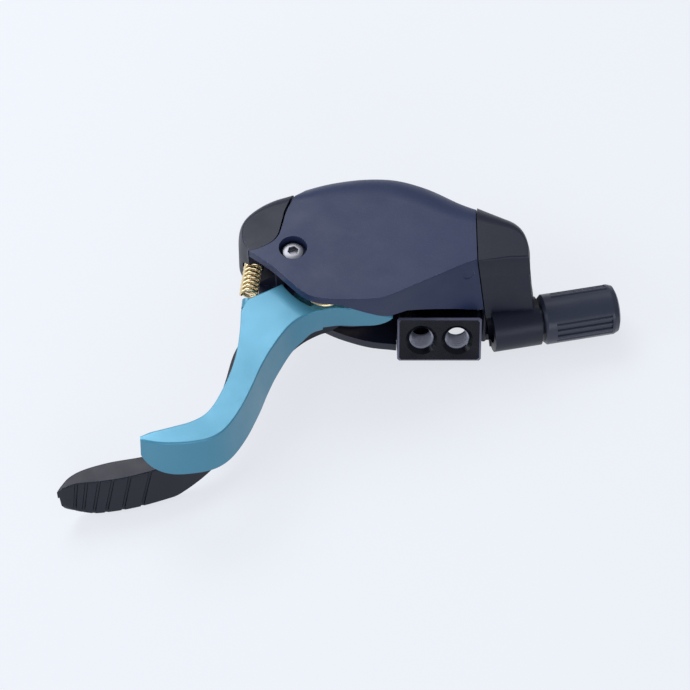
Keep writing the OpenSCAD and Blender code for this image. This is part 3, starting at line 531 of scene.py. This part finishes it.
# ---------------------------------------------------------------- top cover
front_inside = [(-9, -9.4), (-5.6, -11.6), (3.2, -12), (5.8, -11.5), (11.3, -9.2), (15.6, -7.5), (20, -5.6),
                (26, -3.4)]
low_inside = [(-16, -2)] + front_inside + [(26, 5.6), (19.3, 7.8), (13.7, 11), (8.8, 12.9), (4.6, 13.4),
                                           (-0.2, 13), (-5, 11.8), (-8.6, 10.2), (-9.6, 8.4), (-10.5, 5.4),
                                           (-11, 3), (-11.8, 0.4)]
high_inside = [(-15.2, -2.7)] + front_inside + [(26, 4.4), (19.3, 6.2), (13.7, 8.9), (8.8, 10.7), (4.6, 11.2),
                                                (-0.2, 10.9), (-5, 9.9), (-8.8, 8.4), (-10.5, 5.4), (-11, 3),
                                                (-11.8, 0.4)]
slot_edge = [(-30, 0), (22, 0), (22, parting_z + 0.2), (20.4, 10.7), (9.6, 15.9), (6.6, 16.2),
             (-2, housing_h - edge_t), (-30, housing_h - edge_t)]
well_floor = housing_h - well_depth
drum_post_r = 2.65
mark_r, mark_at, mark_turn, mark_lean = 1.05, (20.2, -6.4, 19.3), 18.5, 82.4
web_top = 16.4
release_z = 18.0
hub_top = 18.4

cover = loft("cover", cover_rings())
slot_cut = make("slot", [(x, y, z) for y in (-31, -1) for x, z in slot_edge],
                [list(range(8)), list(range(15, 7, -1))]
                + [[i, (i + 1) % 8, 8 + (i + 1) % 8, 8 + i] for i in range(8)])
cut(cover, prism("i", low_inside, parting_z - 1, housing_h - shoulder_r),
    prism("i", high_inside, housing_h - shoulder_r - 1, housing_h - roof), outward(slot_cut))
add(cover, disc(well_d / 2 + 1, well_floor - 0.5, housing_h - roof + 0.1, cover_screw_at),
    disc(drum_post_r, release_z + 0.3, housing_h - roof + 0.1, drum_post_at),
    disc(post_r, parting_z, housing_h - shoulder_r - 0.8, base_screw_at[0], 40),
    disc(post_r, parting_z, housing_h - shoulder_r - 0.8, base_screw_at[1], 40))
mark = shift(disc(mark_r, -0.2, 1.0, (0, 0), 48), Matrix.Translation(mark_at)
             @ Matrix.Rotation(math.radians(mark_turn), 4, "Z")
             @ Matrix.Rotation(math.radians(mark_lean), 4, "X"))
cut(cover, disc(well_d / 2, well_floor, housing_h + 1, cover_screw_at, 72),
    disc(screw_r + 0.1, well_floor - 1, housing_h - 1, cover_screw_at, 40),
    disc(screw_r, parting_z - 1, parting_z + 5.6, base_screw_at[0], 32),
    disc(screw_r, parting_z - 1, parting_z + 5.6, base_screw_at[1], 32), mark)
clean(cover)
dress(cover, cover_paint, cover_edge_wear_and_highlight)
finish_edges(cover, 0.16, edge_slot=1)
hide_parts("top_cover")
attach(cover, "housing")

# ---------------------------------------------------------------- base with the nose
ear_z = web_top + 0.5
boss_r, boss_top = 4.4, 5.7
pawl_z = 9.1
pawl_post_r, rib_r, rib_at = 2.2, 0.55, (23.45, -6.2)
bolt_r, bolt_head_r, bolt_head_h = 2.5, 3.9, 1.4
lever_gap = [(-30, -10), (-8, -10), (-8, 3.5), (-30, 3.5)]
nose_hollow = [(-12.9, 1), (-10.5, 1), (-9.4, 5), (-9, 9.4), (-12.6, 7.4)]
nose_rib = [(-16.4, 5.4), (-12.2, 4.2), (-8.8, 9.4), (-10.4, 10.6), (-13.2, 9.2)]
screw_ear = [(-15, -1.9), (-12.3, -3), (-9.9, -4.9), (-8.2, -4.2), (-7.5, -2.5), (-8.2, -0.8), (-9.9, -0.1),
             (-13, 0.8), (-15, 1.5)]
nose_wall = [(-16.7, 4.6), (-12.2, 3.9), (-9, 9.3), (-10.5, 10.3), (-13.3, 9.1)]
nose_tab = [(-16.7, 4.9), (-16.3, 1.5), (-13.6, -1.4), (-11.6, -0.6), (-11.9, 4.3)]
tongue_slot = [(16.8, -10), (22.2, -10), (22.2, 0.8), (16.8, 0.8)]
back = run(foot_back, steps)
inner = []
for i in range(len(back)):
    a, b = back[max(i - 1, 0)], back[min(i + 1, len(back) - 1)]
    t = unit((b[0] - a[0], b[1] - a[1]))
    inner.append((back[i][0] - wall * t[1], back[i][1] + wall * t[0]))
base = prism("base", run(foot_front, steps) + [(8.05, -8.7), (8.05, -6.4), (30.5, -6.4)] + back, 0, parting_z)
cut(base, prism("i", [(-30, -30), (40, -30), (40, inner[0][1])] + inner + [(-11.9, 3.6), (-30, 3.6)], floor_t,
                parting_z + 1))
nose = loft("nose", [nose_ring(parting_z + 0.5), nose_ring(14)]
            + [nose_ring(soft_z(k)) for k in range(soft_steps + 1)])
cut(nose, prism("i", lever_gap, 0, nose_z), prism("i", nose_hollow, 0, housing_h - 3))
add(base, nose, prism("i", nose_rib, 7, nose_z + 1), prism("i", screw_ear, ear_z, well_floor - 0.5),
    disc(boss_r, floor_t - 0.1, boss_top), disc(post_r, floor_t - 0.1, parting_z, base_screw_at[0], 40),
    disc(post_r, floor_t - 0.1, parting_z, base_screw_at[1], 40),
    disc(pawl_post_r, floor_t - 0.1, pawl_z - 0.3, hold_pin_at, 40),
    disc(rib_r, 0.001, parting_z - 0.2, rib_at, 32), prism("i", nose_wall, 0.3, 8),
    prism("i", nose_tab, 0.3, 1.6))
tongue_z = floor_t - 0.2
side = [(cap_seam_x(tongue_z) - 0.1, tongue_z), (50, tongue_z), (50, 30), (cap_seam_x(30) - 0.1, 30)]
right_cut = make("rc", [(x, y, z) for y in (-20, 20) for x, z in side],
                 [[0, 1, 2, 3], [7, 6, 5, 4]] + [[i, (i + 1) % 4, 4 + (i + 1) % 4, 4 + i] for i in range(4)])
coil_from, coil_to = Vector((-16.4, 2.2, 16)), Vector((-17.7, -9.5, 16))
coil_r, coil_wire, coil_turns, coil_room = 1.3, 0.55, 11, 0.3
cut(base, prism("i", tongue_slot, -1, floor_t + 1), outward(right_cut),
    prism("i", [(cap_seam_x(0), -20), (50, -20), (50, 20), (cap_seam_x(0), 20), (cap_seam_x(0), 5), (28, 4.6),
                (29.8, 3.4), (29.4, -0.4), (cap_seam_x(0), -1.5)], -1, tongue_z + 0.1),
    disc(bolt_r, -1, boss_top + 1), disc(bolt_head_r, -1, bolt_head_h),
    *[disc(screw_r, -1, parting_z + 1, p, 32) for p in base_screw_at],
    *[disc(head_r + 0.1, -1, 0.9, p, 40) for p in base_screw_at + bracket_screw_at],
    *[disc(screw_r, -1, floor_t + 1, p, 32) for p in bracket_screw_at],
    disc(1.0, 4, parting_z, hold_pin_at, 32), disc(screw_r, ear_z - 1, housing_h - 1, cover_screw_at, 32),
    bar(coil_from, coil_to, coil_r + coil_wire / 2 + coil_room, 40))
clean(base)
dress(base, base_paint, cover_edge_wear_and_highlight)
finish_edges(base, 0.10, edge_slot=1)
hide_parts("base_shell")
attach(base, "housing")

# ---------------------------------------------------------------- end cap
barrel_at, barrel_turn = (33, -5.7, 5), 10.9
socket_r, stem_bore_r, insert_r = 4.3, 2.7, 3.3
barrel_place = Matrix.Translation(barrel_at) @ Matrix.Rotation(math.radians(barrel_turn), 4, "Z")
along_x = Matrix.Rotation(math.radians(90), 4, "Y")


def barrel_disc(x0, x1, r, sides=72):
    """A round solid on the barrel's axis."""
    return shift(disc(r, x0, x1, (0, 0), sides), barrel_place @ along_x)


under = [(0, -8.05), (27.5, -7.9), (32.1, -7.6), (32.4, -3), (32, 3.1), (30.7, 5.7), (27.3, 6.7), (0, 7.4)]
foot = [(0, -8.35), (27.5, -8.2), (32.4, -7.9), (32.7, -3), (32.3, 3.2), (30.9, 6), (27.4, 7), (0, 7.7)]
sill = [(0, -7.4), (27.6, -7.25), (32.2, -7), (32.4, -2.6), (32, 3.3), (30.6, 5.9), (27.2, 7.1), (0, 8)]
belt = [(0, -7), (27.8, -6.7), (31.7, -6.5), (31.7, -2), (31.1, 3.1), (29.8, 5.7), (26.8, 6.9), (0, 8.3)]
brow = [(0, -5.9), (27.6, -5.2), (30.8, -5.1), (30.9, -2), (30.2, 2), (28.6, 4.6), (26, 6.3), (0, 8.5)]
crest = [(0, -5.25), (27.2, -4.3), (30.2, -4.2), (30.1, -1.9), (29.3, 0.1), (28, 1.2), (25.6, 2), (0, 3.1)]


def cap_ring(pts, z):
    """A cap section with smooth corners at the right, cut at the seam."""
    x = cap_seam_x(z) + 0.1
    p = [(x, pts[0][1])] + list(pts[1:-1]) + [(x, pts[-1][1])]
    out = []
    for i in range(len(p)):
        if 2 < i < len(p) - 2:
            out += [bend_point(p[i - 1], p[i], p[i + 1], p[(i + 2) % len(p)], k / 8) for k in range(8)]
        elif i == len(p) - 1:
            out.append(p[i])
        else:
            out += [mix(p[i], p[i + 1], k / 4) for k in range(4)]
    return out


cap_rings = [at_z(cap_ring(under, 0.3), 0.3), at_z(cap_ring(foot, 0.8), 0.8), at_z(cap_ring(sill, 4.8), 4.8),
             at_z(cap_ring(belt, parting_z), parting_z)]
for k in range(soft_steps + 1):
    b = 1 - math.cos(math.pi / 2 * k / soft_steps)
    z = soft_z(k)
    cap_rings.append(at_z([mix(p, q, b) for p, q in zip(cap_ring(brow, z), cap_ring(crest, z))], z))
cap = loft("cap", cap_rings)
add(cap, barrel_disc(-8.6, -0.2, socket_r, 96))
hollow = prism("i", [(20, -5), (27, -4.6), (29.4, -3.6), (29.4, 1.8), (27.6, 3.9), (24.5, 5.4), (20, 6.6)],
               -1, housing_h - 2)
cut(hollow, disc(2.9, floor_t + 0.05, housing_h, base_screw_at[2], 40), barrel_disc(-8.7, 0.3, socket_r))
cut(cap, hollow, disc(screw_r, 0, 8, base_screw_at[2], 32),
    prism("i", [(20, -1.8), (29.6, -0.7), (30.1, 3.6), (28.2, 4.9), (20, 5.3)], -1, floor_t),
    shift(disc(1.25, 0, 20, (0, 0), 48), Matrix.Translation((31.75, -3.3, 9))),
    shift(disc(2.6, 0, 20, (0, 0), 64), Matrix.Translation((31.2, 5.2, 14))
          @ Matrix.Rotation(math.radians(-4), 4, "Y")), barrel_disc(-12, 2, stem_bore_r),
    barrel_disc(-7, -1.5, insert_r))
clean(cap)
dress(cap, cap_black, cap_highlight_edge)
finish_edges(cap, 0.14, edge_slot=1)
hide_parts("end_cap")
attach(cap, "housing")

# ---------------------------------------------------------------- mounting bar with cut threads
bar_place = Matrix.Translation((15.4, -11.5, 7.2)) @ Matrix.Rotation(math.radians(60), 4, "X")
hole_x = 3.1
tongue = [(8.6, -7), (16.2, -7), (16.2, 4.4), (15.2, 5.4), (9.6, 5.4), (8.6, 4.4)]
half_w, half_h, bar_d, hole_r, rim_r, chamfer = 7.3, 4.1, 7.0, 2.1, 2.75, 0.34


def bar_ring(inset, z):
    """The bar's section with small cut corners."""
    x, y, c = half_w - inset, half_h - inset, 0.35
    return [(x - c, -y, z), (x, -y + c, z), (x, y - c, z), (x - c, y, z), (-x + c, y, z), (-x, y - c, z),
            (-x, -y + c, z), (-x + c, -y, z)]


def edge_faces(obj, test):
    """Faces that the test picks take the second material."""
    for face in obj.data.polygons:
        face.material_index = 1 if test(face) else 0


bracket = loft("bracket", [bar_ring(0, -bar_d), bar_ring(0, -chamfer), bar_ring(chamfer, 0)])
dress(bracket, gloss_black, bar_highlight_edge)
# The bar's chamfer faces take the lighter colour, a painted highlight.
edge_faces(bracket, lambda f: 0.3 < f.normal.z < 0.95)
shift(bracket, bar_place)
neck = prism("neck", tongue, floor_t, floor_t + 2.6)
add(bracket, dress(neck, gloss_black, bar_highlight_edge))
for s in (-1, 1):
    place = bar_place @ Matrix.Translation((s * hole_x, 0, 0))
    bore = disc(hole_r, -bar_d - 0.4, 1, (0, 0), 72)
    dress(bore, gloss_black, bar_highlight_edge)
    cone = revolve("cone", [(0, -0.7), (hole_r - 0.05, -0.7), (rim_r + 0.5, 0.5), (0, 0.5)], 72)
    dress(cone, gloss_black, bar_highlight_edge)
    cut(bracket, shift(bore, place), shift(cone, place))
cut(bracket, *[dress(disc(screw_r, 0, 8, p, 32), gloss_black, bar_highlight_edge) for p in bracket_screw_at])
clean(bracket)
finish_edges(bracket, 0.07, angle=60, segments=2)
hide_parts("mount_bracket")
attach(bracket, "housing")
for number, s in enumerate((-1, 1)):
    # The thread is a ridge that winds down the bore and fades at both ends
    pitch, depth, ridge, foot_w, crest_w = 0.8, 5.9, 0.34, 0.23, 0.04
    count = int(depth / pitch * 40)
    verts, faces = [], []
    for k in range(count + 1):
        a = 2 * math.pi * k / 40
        z = -0.75 - depth * k / count
        fade = min(1.0, k / 30, (count - k) / 30)
        low_r, high_r = hole_r + 0.02, hole_r - ridge * fade - 0.005
        for r, dz in ((low_r, foot_w), (high_r, crest_w), (high_r, -crest_w), (low_r, -foot_w)):
            verts.append((r * math.cos(a), r * math.sin(a), z + dz))
    for k in range(count):
        for j in range(4):
            a, b = 4 * k + j, 4 * k + (j + 1) % 4
            faces.append([a, b, b + 4, a + 4])
    faces += [[3, 2, 1, 0], [4 * count + j for j in range(4)]]
    thread = outward(make(f"thread_{number}", verts, faces))
    shift(thread, bar_place @ Matrix.Translation((s * hole_x, 0, 0)))
    dress(thread, thread_grey)
    shade(thread, 30)
    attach(thread, "housing")


# ---------------------------------------------------------------- levers
def clamp(v):
    return max(0.0, min(1.0, v))


def lever_arm(name, front, back, low, under, top, lean, grow=0.5, crown=0.35):
    """A bent-sheet arm: the plate between two edges and the pressing wall under its front edge."""
    flange = 1.6
    rings, n = [], len(front)
    for i in range(n):
        a, b2 = front[max(i - 1, 0)], front[min(i + 1, n - 1)]
        t = unit((b2[0] - a[0], b2[1] - a[1]))
        f, b = front[i], back[i]
        o = (-t[1], t[0])
        w = math.dist(f, b)
        u = ((b[0] - f[0]) / w, (b[1] - f[1]) / w)
        soft, thick = min(crown, w / 4), min(flange, w * 0.6)
        foot_z = min(low[i], under - 0.1)
        out = lean * clamp(i / grow) * (top - foot_z) / 8

        def at(base, along_u, z, dx=0.0):
            return (base[0] + o[0] * dx + u[0] * along_u, base[1] + o[1] * dx + u[1] * along_u, z)

        ring = []
        # Lower lip of the pressing wall, rounded
        ring.append(at(f, thick, foot_z + 0.12, out))
        ring.append(at(f, thick - 0.2 * thick, foot_z, out))
        ring.append(at(f, 0.2 * thick, foot_z, out))
        ring.append(at(f, 0.0, foot_z + 0.3, out))
        ring.append(at(f, 0.0, foot_z * 0.5 + (top - soft) * 0.5, out * 0.5))
        ring.append(at(f, 0.0, top - soft))
        for k in range(1, 4):
            c = math.pi / 2 * k / 4
            ring.append(at(f, soft * (1 - math.cos(c)), top - soft + soft * math.sin(c)))
        ring.append(at(f, soft, top))
        ring.append(at(b, -soft, top))
        for k in range(1, 4):
            c = math.pi / 2 * k / 4
            ring.append(at(b, -soft * (1 - math.sin(c)), top - soft + soft * math.cos(c)))
        ring.append(at(b, 0.0, top - soft))
        ring.append(at(b, 0.0, under + 0.15))
        ring.append(at(b, -0.15, under))
        ring.append(at(f, thick + 0.25, under))
        ring.append(at(f, thick, under - 0.05))
        rings.append(ring)
    return loft(name, rings)


pull_z, plate_t = 8.5, 2.0
pull_under = pull_z - plate_t
pull_pad_z = 0.6
pull_front = [(-1.3, -7.2), (-3.6, -8.9), (-5.9, -9.9), (-8.9, -11.9), (-12.2, -15.5), (-15.2, -20.4),
              (-18.1, -26), (-21, -30.8), (-24.4, -34.7), (-28.6, -37.5), (-33.1, -39.3), (-37.4, -40.6),
              (-41.8, -41.4), (-45.6, -41.8), (-48.3, -42.9)]
pull_back = [(-48.9, -43.3), (-48.3, -42), (-47, -40.2), (-44.6, -38.7), (-40.4, -37.3), (-35.1, -36.2),
             (-30.6, -34.8), (-27, -32.6), (-24.4, -29.6), (-22.8, -25.9), (-21.5, -20.8), (-20, -14.6),
             (-17, -9.4), (-12.6, -5.2), (-7.2, -1.2)]
spans = 110
front = along(run(pull_front, steps), spans)
back_edge = along(run(pull_back, steps)[::-1], spans)
low = []
for p in front:
    rise = clamp(1 - (p[0] + 48.6) / 6)
    slope = max(0.0, (p[0] + 30) / 18)
    low.append(pull_pad_z + 6 * (1 - math.sqrt(1 - rise * rise)) + slope * 6)


def edge_y(path, x):
    """The y of a lever's edge at x, on an edge that runs to the left."""
    for a, b in zip(path, path[1:]):
        if a[0] >= x > b[0]:
            return a[1] + (b[1] - a[1]) * (a[0] - x) / (a[0] - b[0])


pull = lever_arm("pull", front, back_edge, low, pull_under, pull_z, 1.3)
add(pull, disc(8.2, pull_under, pull_z, (0, 0), 96))
groove_top = [-45.7, -44, -41.9, -39.6, -36.8, -33.4]
groove_foot = [-46.7, -45.3, -43.5, -41.4, -38.6, -35.4]
pull_pin_at = polar(12, 225)
pull_grooves = [bar((a, edge_y(front, a) + 0.05, pull_z + 0.3), (b, edge_y(front, b) - 1.35, pull_pad_z - 0.3),
                    0.3, 20) for a, b in zip(groove_top, groove_foot)]
cut(pull, disc(4, 0, 30, (0, 0), 64), disc(1.0, 0, 30, pull_pin_at, 32), disc(0.5, 0, 30, polar(6.8, 140), 24),
    *pull_grooves)
clean(pull)
dress(pull, pull_black, pull_highlight_edge)
finish_edges(pull, 0.08, edge_slot=1)
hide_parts("pull_lever")
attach(pull, "pull_lever")

release_pad_z, step_r, ring_r, hub_r = 9.9, 13.8, 8.4, 5.6
web_z = 14.6
release_front = [(7.2, -11.7), (4.2, -12.25), (0.7, -12.45), (-2.7, -12.5), (-6.9, -13.6), (-10.3, -16.1),
                 (-13.2, -20.7), (-15, -24.6), (-16.6, -29), (-18.4, -33.3), (-20.6, -36.9), (-22.9, -38.8),
                 (-25.8, -39.6), (-28.8, -39.9), (-31.8, -39.8), (-34.6, -39.2)]
release_back = [(-34.7, -38.4), (-33.2, -37.5), (-31.6, -37), (-29, -36.2), (-26.6, -35.4), (-24.4, -34.1),
                (-22.9, -32.2), (-21.4, -28.9), (-20.1, -25.2), (-19.2, -21.1), (-18.8, -17), (-18.7, -12.8)]
release_shoulder = [(-18, -10.8), (-17.2, -10.1), (-14.9, -8.9), (-11.8, -7.2)]
front_all = run(release_front, steps)
j0, j1, j2 = 3 * steps + half, 5 * steps, 7 * steps
arc = [polar(step_r, a) for a in range(248, 211, -2)]
n0, n1, n2 = 24, 24, 64
front = (along(front_all[j0:j1 + 1], n0)[:-1] + along(front_all[j1:j2 + 1], n1)[:-1]
         + along(front_all[j2:], n2))
back_edge = (along(arc, n0)[:-1] + along(run(release_shoulder, steps)[::-1], n1)[:-1]
             + along(run(release_back, steps)[::-1], n2))
low = []
for p in front:
    tip, root = clamp(1 - (p[0] + 34.8) / 6.5), clamp((p[0] + 16) / 9)
    low.append(release_pad_z + 5.6 * (1 - math.sqrt(1 - tip * tip)) + 2.4 * root)
release = lever_arm("release", front, back_edge, low, release_z - 2, release_z, 1, 16, crown=0.42)
finger_path = along(front_all[:j0 + half + 1], 28)
finger_rings = []
for i in range(29):
    p = finger_path[28 - i]
    # The end is round in height and narrows
    end = clamp((p[0] - 3.6) / 3.6)
    bow = 1 - math.sqrt(1 - 0.96 * end * end)
    low_z = 12.4 + 0.05 * (28 - i) / 4 + 1.9 * bow
    top_z = min(release_z, 19.4 - 0.5 * (p[0] + 2)) - (0.35 if p[0] > -1.5 else 0.2)
    top_z -= 0.3 * bow
    e, w = 0.22, 1.5 - 0.7 * bow
    y = p[1] + 0.2 * clamp((-4.7 - p[0]) / 1.4)
    finger_rings.append([(p[0], y, top_z - e), (p[0], y, low_z + e), (p[0], y + e, low_z),
                         (p[0], y + w, low_z), (p[0], y + w, top_z), (p[0], y + e, top_z)])
web_step = [(-10.9, -9.4), (-9.6, -8.9), (-6.4, -11.4), (-4.2, -11.9), (-4.4, -12.5), (-7, -13.3),
            (-10.3, -15.3), (-12.2, -11.6)]
spring_pad = [(-18.2, -11.4), (-15.6, -10.2), (-15.2, -11.4), (-18.2, -12.9)]
web = [(-6.6, -5), (-10.4, -9.3), (-8.8, -11.6), (-3.4, -12.6), (2, -11.2), (5, -6.6)]
cam = [(0, 0)] + [polar(10.2 + 1.22 * min(1.15, a / 14), 24 + a) for a in range(0, 33, 2)]
add(release, loft("finger", finger_rings), prism("i", web, web_z, web_top),
    disc(ring_r, web_z, web_top, (0, 0), 96), prism("i", cam, web_z, web_top),
    prism("i", web_step, web_z, release_z - 1.6), prism("i", spring_pad, 14.2, release_z - 1),
    bar((-17.8, -11.2, 16), coil_to, 0.95, 32))
cut(release, disc(hub_r + 0.05, 0, 30, (0, 0), 96))
clean(release)
dress(release, teal, teal_highlight_edge)
finish_edges(release, 0.10, edge_slot=1)
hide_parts("release_lever")
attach(release, "release_lever")

# ---------------------------------------------------------------- springs
d = (coil_to - coil_from).normalized()
u = d.cross(Vector((0, 0, 1))).normalized()
v = d.cross(u)
long = (coil_to - coil_from).length - coil_wire * 1.2 - 0.9
path = []
for k in range(40 * coil_turns + 1):
    a, s = 2 * math.pi * k / 40, k / (40 * coil_turns)
    path.append(coil_from + d * (coil_wire * 0.6 + long * s) + coil_r * (math.cos(a) * u + math.sin(a) * v))
coil = tube_along("coil", path, coil_wire / 2 + 0.05, 14)
twist_r, wire_r, pitch, turns = 3.3, 0.35, 0.72, 2
base_z = release_z + 0.2 + wire_r
path = [(-0.45, -4.9, hub_top - 0.4), (-0.45, -6.1, hub_top + 0.8)]
for k in range(48 * turns + 20):
    a = -2 * math.pi * k / 48
    path.append((drum_post_at[0] + twist_r * math.cos(a), drum_post_at[1] + twist_r * math.sin(a),
                 base_z + pitch * turns - pitch * k / 48))
twist = tube_along("twist", path, wire_r, 14)
spring_r, pitch = 4.4 + 0.25 + 0.35, 0.8
base_z = floor_t + 0.1 + 0.35
path = []
for k in range(137):
    a = math.radians(160) + 2 * math.pi * k / 48
    path.append((spring_r * math.cos(a), spring_r * math.sin(a), base_z + pitch * k / 48))
path += [(*polar(6.8, 140), base_z + pitch * 3.1), (*polar(6.8, 140), pull_under + 0.6)]
lower = tube_along("lower", path, 0.35, 14)
for piece, node in ((coil, "coil_spring"), (twist, "drum_spring"), (lower, "lever_spring")):
    dress(piece, gold)
    shade(piece, 40)
    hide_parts(node)
    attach(piece, "housing")

# ---------------------------------------------------------------- cover screw with its hex socket
screw = revolve("screw", [(0, 17.2), (1.1, 17.2), (1.1, 19.8), (1.95, 19.8), (1.95, 20.6), (1.75, 20.9),
                          (1.3, 21.08), (0, 21.1)], 72)
cut(screw, disc(0.95, 20.2, 21.5, (0, 0), 6, 0.3))
shift(screw, Matrix.Translation((*cover_screw_at, 0)))
clean(screw)
dress(screw, screw_steel)
finish_edges(screw, 0.05, angle=40)
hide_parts("cover_screw")
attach(screw, "housing")

# ---------------------------------------------------------------- the rest of the CAD nodes
finish = {"bracket_screws": steel, "base_screws": steel, "pivot_bolt": steel,
          "pivot_nut": steel, "pivot_washers": steel, "hold_pawl_pin": steel, "adjuster_nut": steel,
          "lever_bush": bronze, "pull_pawl_pin": steel, "pull_pawl": steel, "ratchet_wheel": steel,
          "cable_drum": drum_black, "hold_pawl": steel, "casing_stop": steel, "barrel_adjuster": barrel_black}
for name, mat in finish.items():
    dress(nodes[name], mat)
    finish_edges(nodes[name], 0.06, angle=40)

# ---------------------------------------------------------------- stage and light
floor_mat = bpy.data.materials.new("floor")
floor_mat.use_nodes = True
tree = floor_mat.node_tree
tree.nodes.clear()
out = tree.nodes.new("ShaderNodeOutputMaterial")
plain = tree.nodes.new("ShaderNodeBsdfDiffuse")
plain.inputs["Color"].default_value = (0.20, 0.21, 0.225, 1)
glow = tree.nodes.new("ShaderNodeEmission")
glow.inputs["Color"].default_value = (0.93, 0.95, 1.0, 1)
paths = tree.nodes.new("ShaderNodeLightPath")
seen = tree.nodes.new("ShaderNodeMath")
seen.operation = "MAXIMUM"
tree.links.new(paths.outputs["Is Camera Ray"], seen.inputs[0])
tree.links.new(paths.outputs["Is Glossy Ray"], seen.inputs[1])
level = tree.nodes.new("ShaderNodeMath")
level.operation = "MULTIPLY"
level.inputs[1].default_value = 0.74
tree.links.new(seen.outputs[0], level.inputs[0])
tree.links.new(level.outputs[0], glow.inputs["Strength"])
both = tree.nodes.new("ShaderNodeAddShader")
tree.links.new(plain.outputs[0], both.inputs[0])
tree.links.new(glow.outputs[0], both.inputs[1])
tree.links.new(both.outputs[0], out.inputs["Surface"])
floor = make("floor", [(-2500, -2500, -0.02), (2500, -2500, -0.02), (2500, 2500, -0.02),
                       (-2500, 2500, -0.02)], [[0, 1, 2, 3]])
floor.data.materials.append(floor_mat)

world = bpy.data.worlds.new("studio")
bpy.context.scene.world = world
world.use_nodes = True
tree = world.node_tree
tree.nodes.clear()
out = tree.nodes.new("ShaderNodeOutputWorld")
fill = tree.nodes.new("ShaderNodeBackground")
fill.inputs["Color"].default_value = (0.86, 0.91, 1.0, 1)
fill.inputs["Strength"].default_value = 0.34
shown = tree.nodes.new("ShaderNodeBackground")
shown.inputs["Color"].default_value = (0.93, 0.95, 1.0, 1)
shown.inputs["Strength"].default_value = 0.95
paths = tree.nodes.new("ShaderNodeLightPath")
seen = tree.nodes.new("ShaderNodeMath")
seen.operation = "MAXIMUM"
tree.links.new(paths.outputs["Is Camera Ray"], seen.inputs[0])
tree.links.new(paths.outputs["Is Transmission Ray"], seen.inputs[1])
blend = tree.nodes.new("ShaderNodeMixShader")
tree.links.new(seen.outputs[0], blend.inputs["Fac"])
tree.links.new(fill.outputs[0], blend.inputs[1])
tree.links.new(shown.outputs[0], blend.inputs[2])
tree.links.new(blend.outputs[0], out.inputs["Surface"])


def lamp(name, place, size, power, colour):
    aim = (0, -8, 8)
    light = bpy.data.lights.new(name, "AREA")
    light.shape = "RECTANGLE"
    light.size, light.size_y = size[0] * MM, size[1] * MM
    light.energy = power
    light.color = colour
    obj = bpy.data.objects.new(name, light)
    obj.location = Vector(place) * MM
    obj.rotation_euler = (Vector(aim) - Vector(place)).to_track_quat("-Z", "Y").to_euler()
    bpy.context.scene.collection.objects.link(obj)
    return obj


lamp("key", (-160, 260, 420), (340, 260), 1.45, (0.96, 0.97, 1.0))
lamp("side", (-420, -60, 220), (260, 300), 0.75, (0.92, 0.95, 1.0))
lamp("low_front", (60, -420, 160), (420, 160), 0.60, (0.84, 0.90, 1.0))

# ---------------------------------------------------------------- final update
bpy.context.view_layer.update()
